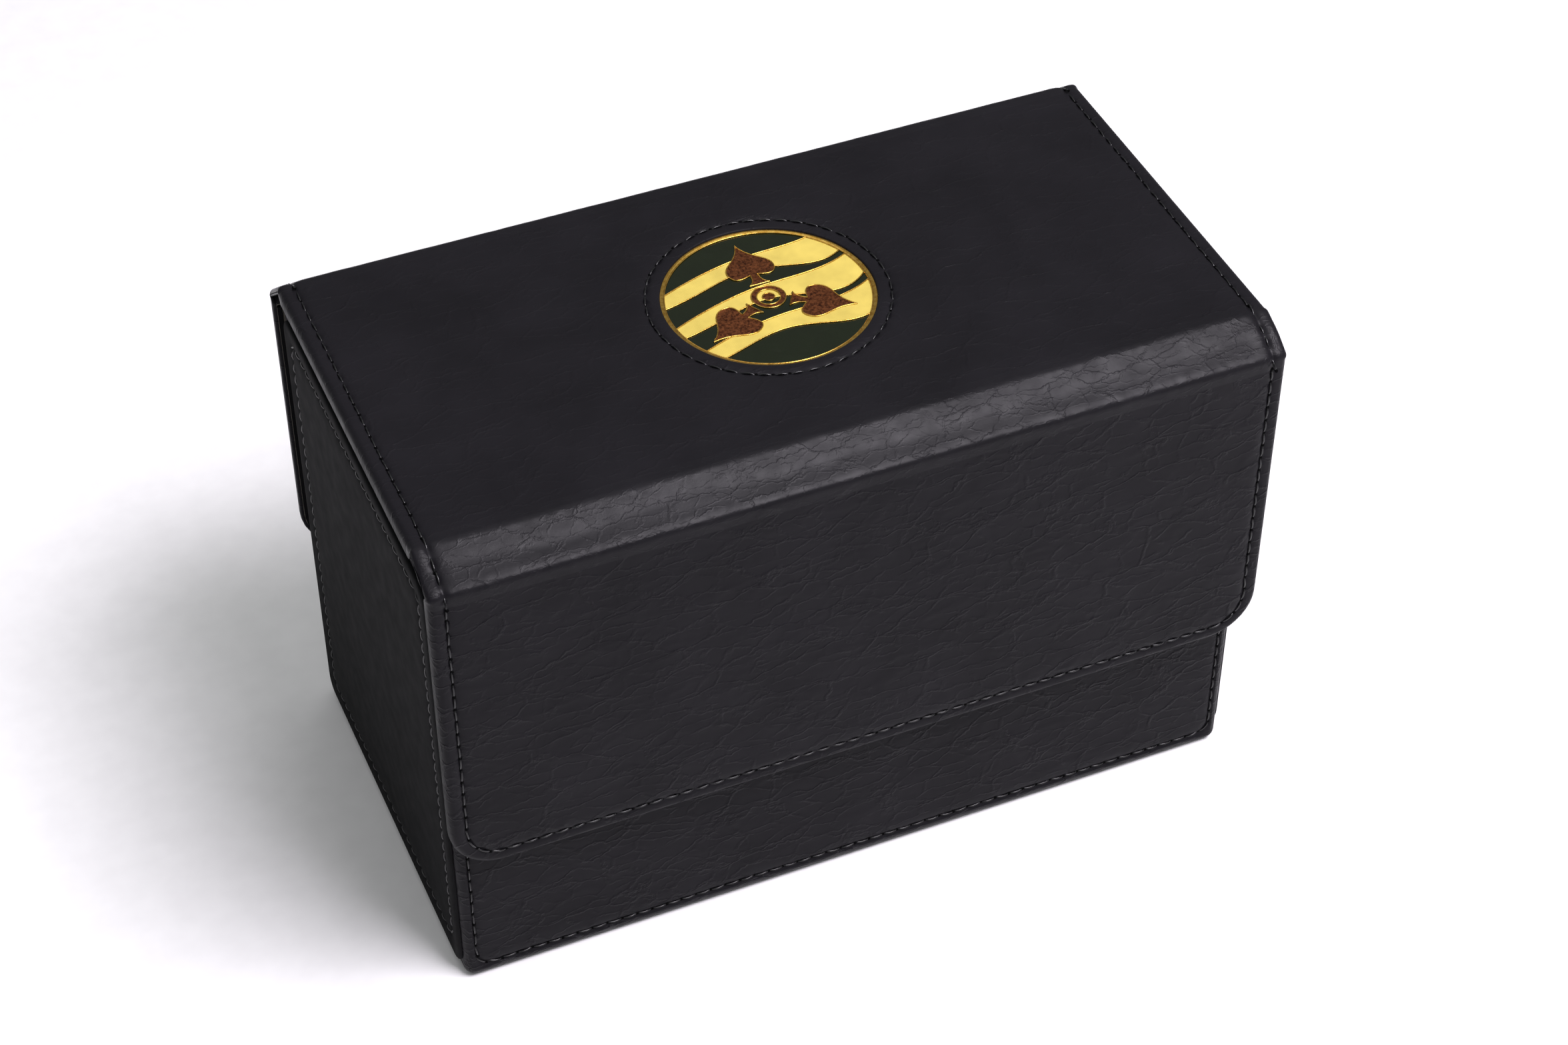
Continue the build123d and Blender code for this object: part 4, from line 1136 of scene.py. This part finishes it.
class DECKBOX_OT_side_covers(bpy.types.Operator):
    """Make the plain leathercloth panels on the two ends of the body"""

    bl_idname = "deckbox.side_covers"
    bl_label = "Side panels"

    def execute(self, context):
        pitch = context.scene.deck_box_stitches.pitch / MM
        half = (SIDE_HIGH[1] - SIDE_LOW[1]) / 2
        low, high = SIDE_LOW[2], SIDE_HIGH[2]
        fine, coarse = 0.22, 1.1
        border = half - SIDE_RADIUS
        columns = graded(-border, -SIDE_SEAM_X, SIDE_SEAM_X, border, fine, coarse)
        rows = graded(low + SIDE_RADIUS + 0.1, SIDE_SEAM_FOOT, SIDE_SEAM_HEAD, high - SIDE_RADIUS - 0.1,
                      fine, coarse)
        rows = [low + SIDE_RADIUS] + rows + [high - SIDE_RADIUS]
        for name, side in (("left", -1), ("right", 1)):
            piece = side_panel("leather_side_" + name, rows, columns,
                               side_place(side, half, low, high, pitch))
            piece.data.materials.append(finish("Plain_leathercloth"))
            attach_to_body(piece, "box")
            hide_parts(name + "_side_cover")
        return {"FINISHED"}


# ---------------------------------------------------------------- Geometry Nodes
def new_tree(name, sockets):
    """A Geometry Nodes tree and its inputs: a geometry and the sockets, given as (name, type, default)."""
    tree = bpy.data.node_groups.new(name, "GeometryNodeTree")
    face = tree.interface
    face.new_socket("Geometry", in_out="INPUT", socket_type="NodeSocketGeometry")
    for label, kind, default in sockets:
        socket = face.new_socket(label, in_out="INPUT", socket_type="NodeSocket" + kind)
        if default is not None:
            socket.default_value = default
        if kind == "Float":
            socket.subtype = "DISTANCE"
    face.new_socket("Geometry", in_out="OUTPUT", socket_type="NodeSocketGeometry")
    return tree, add_node(tree, "NodeGroupInput").outputs


def grown(name, data, tree, values):
    """The plain mesh object that a tree makes of a mesh of paths, its inputs given by name."""
    source = linked(name + "_paths", data)
    modifier = source.modifiers.new("Grow", "NODES")
    modifier.node_group = tree
    for item in tree.interface.items_tree:
        if item.in_out == "INPUT" and item.name in values:
            modifier[item.identifier] = values[item.name]
    bpy.context.view_layer.update()
    graph = bpy.context.evaluated_depsgraph_get()
    made = bpy.data.meshes.new_from_object(source.evaluated_get(graph), preserve_all_data_layers=True,
                                           depsgraph=graph)
    if not made.polygons:
        raise RuntimeError(f"nothing was made for {name}")
    bpy.data.objects.remove(source)
    made.name = name
    while None in made.materials[:]:
        made.materials.pop(index=made.materials[:].index(None))
    return linked(name, made)


# ---------------------------------------------------------------- stitches
def stitch_tree():
    """Geometry Nodes: a stitch and its needle hole at each pitch of the rows' paths."""
    settings = bpy.context.scene.deck_box_stitches
    tree, given = new_tree("Stitch_row", (
        ("Pitch", "Float", settings.pitch), ("Thread diameter", "Float", settings.diameter),
        ("Hole radius", "Float", settings.hole), ("Seed", "Int", settings.seed),
        ("Thread", "Material", None), ("Hole", "Material", None)))
    # Centres of the stitches, evenly spaced along each row.
    path = add_node(tree, "GeometryNodeMeshToCurve", [("Mesh", given["Geometry"])])
    even = add_node(tree, "GeometryNodeResampleCurve",
                    [("Curve", path.outputs[0]), ("Length", given["Pitch"])], mode="LENGTH")
    up = add_node(tree, "GeometryNodeInputNamedAttribute", data_type="FLOAT_VECTOR",
                  inputs={"Name": "up"})
    along = add_node(tree, "GeometryNodeInputTangent")
    turned = add_node(tree, "FunctionNodeAlignRotationToVector", [("Vector", along.outputs[0])], axis="X")
    lifted = add_node(tree, "FunctionNodeAlignRotationToVector",
                      [("Rotation", turned.outputs[0]), ("Vector", up.outputs["Attribute"])],
                      axis="Z", pivot_axis="X")
    slant = add_node(tree, "FunctionNodeRandomValue", [("Seed", given["Seed"])], data_type="FLOAT_VECTOR",
                     inputs={0: (-0.06, -0.05, -0.07), 1: (0.06, 0.05, 0.07)})
    uneven = add_node(tree, "FunctionNodeRotateRotation",
                      [("Rotation", lifted.outputs[0]), ("Rotate By", slant.outputs[0])],
                      rotation_space="LOCAL")
    # Lengths of one stitch, each a share of another.
    lengths = {"pitch": given["Pitch"], "width": given["Thread diameter"]}
    for name, base, share in (
        ("half", "pitch", 0.47), ("dip", "width", -1.15), ("rise", "width", 0.62),
        ("left", "half", -1.0), ("top left", "half", -0.72), ("top right", "half", 0.72),
        ("thread radius", "width", 0.5), ("to hole", "pitch", 0.5), ("hole level", "width", -1.18),
    ):
        product = add_node(tree, "ShaderNodeMath", [(0, lengths[base])], operation="MULTIPLY",
                           inputs={1: share})
        lengths[name] = product.outputs[0]
    # One stitch: thread that rises from a hole, lies along the seam and dives into the next.
    points = {}
    for name, across, level in (
        ("Start", "left", "dip"), ("Start Handle", "top left", "rise"),
        ("End Handle", "top right", "rise"), ("End", "half", "dip"), ("Hole", "to hole", "hole level"),
    ):
        point = add_node(tree, "ShaderNodeCombineXYZ", [("X", lengths[across]), ("Z", lengths[level])])
        points[name] = point.outputs[0]
    bent = add_node(tree, "GeometryNodeCurvePrimitiveBezierSegment",
                    [(name, points[name]) for name in ("Start", "Start Handle", "End Handle", "End")],
                    inputs={"Resolution": 8})
    section = add_node(tree, "GeometryNodeCurvePrimitiveCircle", [("Radius", lengths["thread radius"])],
                       inputs={"Resolution": 7})
    thread = add_node(tree, "GeometryNodeCurveToMesh",
                      [("Curve", bent.outputs[0]), ("Profile Curve", section.outputs[0])],
                      inputs={"Fill Caps": True})
    # The needle hole at the stitch's far end: a shallow cone let into the groove, coloured near-black as
    # painted shade of the hole's depth.
    cone = add_node(tree, "GeometryNodeMeshCone",
                    [("Radius Top", given["Hole radius"]), ("Depth", given["Thread diameter"])],
                    inputs={"Vertices": 9, "Radius Bottom": 0.0}, fill_type="NGON")
    put = add_node(tree, "GeometryNodeTransform",
                   [("Geometry", cone.outputs["Mesh"]), ("Translation", points["Hole"])])
    marked = add_node(tree, "GeometryNodeStoreNamedAttribute", [("Geometry", put.outputs[0])],
                      data_type="BOOLEAN", domain="FACE", inputs={"Name": "hole", "Value": True})
    both = add_node(tree, "GeometryNodeJoinGeometry", [(0, marked.outputs[0]), (0, thread.outputs[0])])
    rows = add_node(tree, "GeometryNodeInstanceOnPoints",
                    [("Points", even.outputs[0]), ("Instance", both.outputs[0]),
                     ("Rotation", uneven.outputs[0])])
    real = add_node(tree, "GeometryNodeRealizeInstances", [("Geometry", rows.outputs[0])])
    smooth = add_node(tree, "GeometryNodeSetShadeSmooth", [("Geometry", real.outputs[0])])
    threaded = add_node(tree, "GeometryNodeSetMaterial",
                        [("Geometry", smooth.outputs[0]), ("Material", given["Thread"])])
    is_hole = add_node(tree, "GeometryNodeInputNamedAttribute", data_type="BOOLEAN",
                       inputs={"Name": "hole"})
    pierced = add_node(tree, "GeometryNodeSetMaterial",
                       [("Geometry", threaded.outputs[0]), ("Selection", is_hole.outputs["Attribute"]),
                        ("Material", given["Hole"])])
    add_node(tree, "NodeGroupOutput", [("Geometry", pierced.outputs[0])])
    return tree


def stitch_rows(name, rows):
    """One plain mesh of stitches along rows, each a list of (point, outward direction) and a flag."""
    settings = bpy.context.scene.deck_box_stitches
    data = bpy.data.meshes.new(name)
    points, edges, ups = [], [], []
    for row, closed in rows:
        first = len(points)
        points += [tuple(np.array(p) * MM) for p, _ in row]
        ups += [u for _, u in row]
        edges += [(first + i, first + i + 1) for i in range(len(row) - 1)]
        if closed:
            edges.append((len(points) - 1, first))
    data.from_pydata(points, edges, [])
    up = data.attributes.new("up", "FLOAT_VECTOR", "POINT")
    up.data.foreach_set("vector", np.array(ups, float).ravel())
    tree = bpy.data.node_groups.get("Stitch_row") or stitch_tree()
    # The holes get a near-black material that paints the shade inside them.
    piece = grown(name, data, tree, {
        "Pitch": settings.pitch, "Thread diameter": settings.diameter, "Hole radius": settings.hole,
        "Seed": settings.seed, "Thread": finish("Bonded_polyester_thread"),
        "Hole": finish("Pierced_cloth")})
    return piece


STITCH_SINK = 0.29  # the rows lie this far below the leathercloth's face


def strip_row(path, places):
    """A row on the strip through (x, s) places, sunk a little below the leathercloth's face."""
    places = np.array(places, float)
    point, normal = path.at(places[:, 1])
    return [((x, p[0] - STITCH_SINK * n[0], p[1] - STITCH_SINK * n[1]), (0.0, n[0], n[1]))
            for x, p, n in zip(places[:, 0], point, normal)]


def side_rows(path, start, end, count):
    """The two open rows along the strip's sides from start to end."""
    pitch = bpy.context.scene.deck_box_stitches.pitch / MM
    run = np.linspace(start + pitch / 2, end - pitch / 2, count)
    return [(strip_row(path, [(x, s) for s in run]), False) for x in (-SEAM_X, SEAM_X)]


def u_places(half, foot, head, radius, up):
    """Places down one side, round the foot and up the other; up is +1 where s grows upwards."""
    upright, level = 60, 80  # places on each straight part
    quarter = np.radians(np.linspace(0, 90, 9)[1:])
    out = [(-half, v) for v in np.linspace(head, foot + up * radius, upright)]
    out += [(-half + radius * (1 - math.cos(a)), foot + up * radius * (1 - math.sin(a))) for a in quarter]
    out += [(x, foot) for x in np.linspace(-half + radius, half - radius, level)[1:]]
    out += [(half - radius * (1 - math.sin(a)), foot + up * radius * (1 - math.cos(a))) for a in quarter]
    return out + [(half, v) for v in np.linspace(foot + up * radius, head, upright)[1:]]


def rounded_ring(half_x, half_y, radius):
    """Places about 1 mm apart round a rounded rectangle about the origin."""
    corners = []
    for cx, cy, start in ((1, -1, -90), (1, 1, 0), (-1, 1, 90), (-1, -1, 180)):
        corners += [(cx * (half_x - radius) + radius * math.cos(a),
                     cy * (half_y - radius) + radius * math.sin(a))
                    for a in np.radians(np.linspace(start, start + 90, 7))]
    full = []
    for a, b in zip(corners, corners[1:] + corners[:1]):
        count = max(1, round(math.dist(a, b)))
        full += [(a[0] + (b[0] - a[0]) * i / count, a[1] + (b[1] - a[1]) * i / count) for i in range(count)]
    return full


class DECKBOX_OT_stitches(bpy.types.Operator):
    """Sew every seam: stitches and needle holes along the rows, one mesh each on the box, the lid's top and
    the flap, and one for each half of a band
    """

    bl_idname = "deckbox.stitches"
    bl_label = "Stitches"

    def execute(self, context):
        path = strip_path()
        pitch = context.scene.deck_box_stitches.pitch / MM
        radius = FLAP_RADIUS - SEAM_INSET
        sections = {name: (start, end) for name, start, end, _, _ in strip_sections(path)}

        back = u_places(SEAM_X, SEAM_INSET, sections["back_flap"][1] - pitch / 2, radius, 1)
        rows = [(strip_row(path, back), False)]
        for y, head in ((WRAP_LOW[1] + STITCH_SINK, WALL_HIGH[2] - THREAD_HALF),
                        (WRAP_HIGH[1] - STITCH_SINK, BACK_LOW[2] - 1)):
            places = u_places(WALL_SEAM_X, WALL_SEAM_FOOT, head, WALL_SEAM_RADIUS, 1)
            rows.append(([((x, y, z), (0, np.sign(y), 0)) for x, z in places], False))
        ring = rounded_ring(SIDE_SEAM_X, (SIDE_SEAM_HEAD - SIDE_SEAM_FOOT) / 2, SIDE_SEAM_RADIUS)
        middle = (SIDE_SEAM_FOOT + SIDE_SEAM_HEAD) / 2
        for side in (-1, 1):
            x = side * (abs(SIDE_LOW[0]) - STITCH_SINK)
            rows.append(([((x, y, z + middle), (side, 0, 0)) for y, z in ring], True))
        piece = stitch_rows("stitches_box", rows)
        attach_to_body(piece, "box")
        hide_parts("back_flap_thread", "front_wall_thread", "back_wall_thread",
                    "left_side_thread", "right_side_thread")

        rows = side_rows(path, *sections["lid_top"], 40)
        rows.append(([((COIN_SEAM * math.cos(a), COIN_SEAM * math.sin(a), LID_HIGH[2] - STITCH_SINK),
                       (0, 0, 1)) for a in np.linspace(0, 2 * math.pi, 120, endpoint=False)], True))
        piece = stitch_rows("stitches_lid_top", rows)
        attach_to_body(piece, "lid_top")
        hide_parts("lid_thread", "coin_seam_thread")

        flap = u_places(SEAM_X, path.length - SEAM_INSET, sections["flap"][0] + pitch / 2, radius, -1)
        piece = stitch_rows("stitches_flap", [(strip_row(path, flap), False)])
        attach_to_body(piece, "flap")
        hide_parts("flap_thread")

        for name, start, end, crease, bodies in strip_sections(path):
            if crease is None:
                continue
            piece = stitch_rows("stitches_" + name, side_rows(path, start, end, 24))
            attach(piece, path, crease, bodies)
            if name.endswith("lower"):
                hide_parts(name.split("_")[0] + "_band_thread")
        return {"FINISHED"}


# ---------------------------------------------------------------- coin
MERGE = 1e-6  # metres within which a frame node's loose corners are one


def top_borders(node):
    """Edges, each two points in metres, round the top faces of a frame node."""
    shape = bmesh.new()
    shape.from_mesh(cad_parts[node].data)
    bmesh.ops.remove_doubles(shape, verts=shape.verts, dist=MERGE)
    top = max(v.co.z for v in shape.verts)
    borders = [tuple(v.co.copy() for v in e.verts) for e in shape.edges
               if all(abs(v.co.z - top) < MERGE for v in e.verts)
               and sum(abs(f.normal.z) > 0.9 for f in e.link_faces) == 1]
    shape.free()
    return borders


def coin_rim(inner):
    """The coin's gilt rim: a half-round ring from the enamel out under the leathercloth."""
    outer = COIN_SEAM - 1.9
    top, foot = COIN_HIGH[2], COIN_HIGH[2] - 0.1
    crown = 0.16
    middle, half = (inner + outer) / 2, (outer - inner) / 2
    section = [(middle - half * math.cos(angle), top + crown * math.sin(angle))
               for angle in np.radians(np.linspace(0, 180, 9))]
    section += [(outer, foot), (inner, foot)]
    skin = Skin()
    chains = []
    for turn in np.linspace(0, 2 * math.pi, 180, endpoint=False):
        chain = [skin.add(reach * math.cos(turn), reach * math.sin(turn), height, False)
                 for reach, height in section]
        chains.append(chain + chain[:1])
    skin.rows(chains + chains[:1])
    return make_mesh("coin_rim", skin, lambda x, y, z, outer: np.column_stack((x, y, z)))


def wire_tree():
    """Geometry Nodes: a thin round wire along every edge of the borders."""
    tree, given = new_tree("Border_wire", (
        ("Width", "Float", bpy.context.scene.deck_box_coin.wire), ("Gilt", "Material", None)))
    path = add_node(tree, "GeometryNodeMeshToCurve", [("Mesh", given["Geometry"])])
    radius = add_node(tree, "ShaderNodeMath", [(0, given["Width"])], operation="MULTIPLY", inputs={1: 0.5})
    section = add_node(tree, "GeometryNodeCurvePrimitiveCircle", [("Radius", radius.outputs[0])],
                       inputs={"Resolution": 8})
    wire = add_node(tree, "GeometryNodeCurveToMesh",
                    [("Curve", path.outputs[0]), ("Profile Curve", section.outputs[0])],
                    inputs={"Fill Caps": True})
    real = add_node(tree, "GeometryNodeRealizeInstances", [("Geometry", wire.outputs[0])])
    smooth = add_node(tree, "GeometryNodeSetShadeSmooth", [("Geometry", real.outputs[0])])
    gilt = add_node(tree, "GeometryNodeSetMaterial",
                    [("Geometry", smooth.outputs[0]), ("Material", given["Gilt"])])
    add_node(tree, "NodeGroupOutput", [("Geometry", gilt.outputs[0])])
    return tree


class DECKBOX_OT_coin(bpy.types.Operator):
    """Finish the coin: antique copper, two enamels and a gilt wire round each field"""

    bl_idname = "deckbox.coin"
    bl_label = "Coin"

    def execute(self, context):
        finishes = {"coin": "Antique_copper", "coin_enamel_pale": "Pale_enamel",
                    "coin_enamel_dark": "Dark_enamel"}
        shape = bmesh.new()
        for node, name in finishes.items():
            finish_node(node, name)
            for ends in top_borders(node):
                shape.edges.new([shape.verts.new((p.x, p.y, COIN_HIGH[2] * MM)) for p in ends])
        bmesh.ops.remove_doubles(shape, verts=shape.verts, dist=2 * MERGE)
        data = bpy.data.meshes.new("coin_wires")
        shape.to_mesh(data)
        shape.free()
        wires = grown("coin_wires", data, wire_tree(), {
            "Width": context.scene.deck_box_coin.wire, "Gilt": finish("Gilt_wire")})
        field_radius = max(p.xy.length for ends in top_borders("coin_enamel_dark") for p in ends) / MM
        rim = coin_rim(field_radius)
        rim.data.materials.append(finish("Gilt_wire"))
        for piece in (wires, rim):
            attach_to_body(piece, "lid_top")
        return {"FINISHED"}


# ---------------------------------------------------------------- frame nodes that stay
class DECKBOX_OT_fittings(bpy.types.Operator):
    """Give the boards, the linings, the base and the magnets their finishes"""

    bl_idname = "deckbox.fittings"
    bl_label = "Boards, linings and magnets"

    def execute(self, context):
        finishes = {
            "Recycled_greyboard": ("front_board", "back_board", "left_board", "right_board",
                                   "base_board", "divider", "lid_board", "flap_board",
                                   "back_flap_board"),
            "Microfibre_suede": ("front_lining", "back_lining", "left_lining", "right_lining",
                                 "floor_lining", "divider_lining"),
            "Nickel_plate": ("body_magnets", "flap_magnets"),
            "Plain_leathercloth": ("base_cover",),
        }
        for name, nodes in finishes.items():
            for node in nodes:
                finish_node(node, name)
        return {"FINISHED"}


# ---------------------------------------------------------------- stage
CAMERA_PLACE = (-0.18905, -0.44831, 0.50193)
CAMERA_AIM = (0.29011, 0.67663, -0.67677)  # direction of view
CAMERA_LENS = 75.33  # mm, behind a frame 36 mm wide
FLOOR_REACH = 6.0  # metres from the box to the floor's edge

# Name, place, what it faces, size, watts and colour: the key makes the front band shine, the wash
# whitens the floor and the panel lifts the front a little.
LAMPS = (
    ("Key", (0.30, -0.445, 0.96), (0.0, 0.0, 0.08), (0.58, 0.38), 15.0, "#FCF6FF"),
    ("Floor_wash", (0.0, 0.2, 1.9), (0.0, 0.1, 0.0), (2.2, 2.2), 14.0, "#FFFFFF"),
    ("Front_panel", (0.45, -1.15, 0.45), (0.0, 0.0, 0.05), (0.8, 0.4), 0.8, "#FAFAFF"),
)


def area_light(name, place, target, size, power, tint):
    """A soft rectangular lamp that faces its target."""
    lamp = bpy.data.lights.new(name, "AREA")
    lamp.shape = "RECTANGLE"
    lamp.size, lamp.size_y = size
    lamp.energy = power
    lamp.color = colour(tint)[:3]
    holder = bpy.data.objects.new(name, lamp)
    holder.location = place
    holder.rotation_euler = (Vector(target) - Vector(place)).to_track_quat("-Z", "Y").to_euler()
    bpy.context.scene.collection.objects.link(holder)


class DECKBOX_OT_stage(bpy.types.Operator):
    """Set up the camera, the pale floor and the soft lamps"""

    bl_idname = "deckbox.stage"
    bl_label = "Stage"

    def execute(self, context):
        scene = context.scene
        lens = bpy.data.cameras.new("Camera")
        lens.lens = CAMERA_LENS
        lens.sensor_width = 36.0
        lens.clip_start, lens.clip_end = 0.02, 20.0
        camera = bpy.data.objects.new("Camera", lens)
        camera.location = CAMERA_PLACE
        camera.rotation_euler = Vector(CAMERA_AIM).to_track_quat("-Z", "Y").to_euler()
        scene.collection.objects.link(camera)
        scene.camera = camera
        scene.view_settings.view_transform = "Standard"

        world = bpy.data.worlds.new("Studio")
        world.use_nodes = True
        background = world.node_tree.nodes["Background"]
        background.inputs["Color"].default_value = colour("#F2F3F5")
        background.inputs["Strength"].default_value = 0.30
        scene.world = world

        floor = bpy.data.meshes.new("floor")
        corners = ((-FLOOR_REACH, -FLOOR_REACH, 0), (FLOOR_REACH, -FLOOR_REACH, 0),
                   (FLOOR_REACH, FLOOR_REACH, 0), (-FLOOR_REACH, FLOOR_REACH, 0))
        floor.from_pydata(corners, [], [(0, 1, 2, 3)])
        ground = linked("floor", floor)
        ground.data.materials.append(finish("Matt_white_paint"))
        for lamp in LAMPS:
            area_light(*lamp)
        return {"FINISHED"}


OPERATORS = (DECKBOX_OT_stage, DECKBOX_OT_strip, DECKBOX_OT_strip_lining, DECKBOX_OT_body_wrap,
             DECKBOX_OT_side_covers, DECKBOX_OT_stitches, DECKBOX_OT_coin, DECKBOX_OT_fittings)
SETTINGS = {"deck_box_leather": DeckBoxLeather, "deck_box_stitches": DeckBoxStitches,
            "deck_box_coin": DeckBoxCoin}


class DECKBOX_PT_panel(bpy.types.Panel):
    """The deck box's settings and making steps"""

    bl_idname = "DECKBOX_PT_panel"
    bl_label = "Deck Box"
    bl_space_type = "VIEW_3D"
    bl_region_type = "UI"
    bl_category = "Deck Box"

    def draw(self, context):
        for key, group in SETTINGS.items():
            box = self.layout.box()
            box.label(text=group.__doc__)
            for name in group.__annotations__:
                box.prop(getattr(context.scene, key), name)
        for operator in OPERATORS:
            self.layout.operator(operator.bl_idname)


def register():
    """Registers the classes and gives the scene its settings."""
    for item in (*SETTINGS.values(), *OPERATORS, DECKBOX_PT_panel):
        bpy.utils.register_class(item)
    for key, group in SETTINGS.items():
        setattr(bpy.types.Scene, key, bpy.props.PointerProperty(type=group))


def unregister():
    """Takes the settings and the classes away again."""
    for key in SETTINGS:
        delattr(bpy.types.Scene, key)
    for item in (*SETTINGS.values(), *OPERATORS, DECKBOX_PT_panel):
        bpy.utils.unregister_class(item)


def main():
    """Makes the stage and every piece."""
    register()
    for operator in OPERATORS:
        name = operator.bl_idname.split(".")[1]
        if getattr(bpy.ops.deckbox, name)() != {"FINISHED"}:
            raise RuntimeError(f"{operator.bl_label} did not finish")


if __name__ == "__main__":
    main()
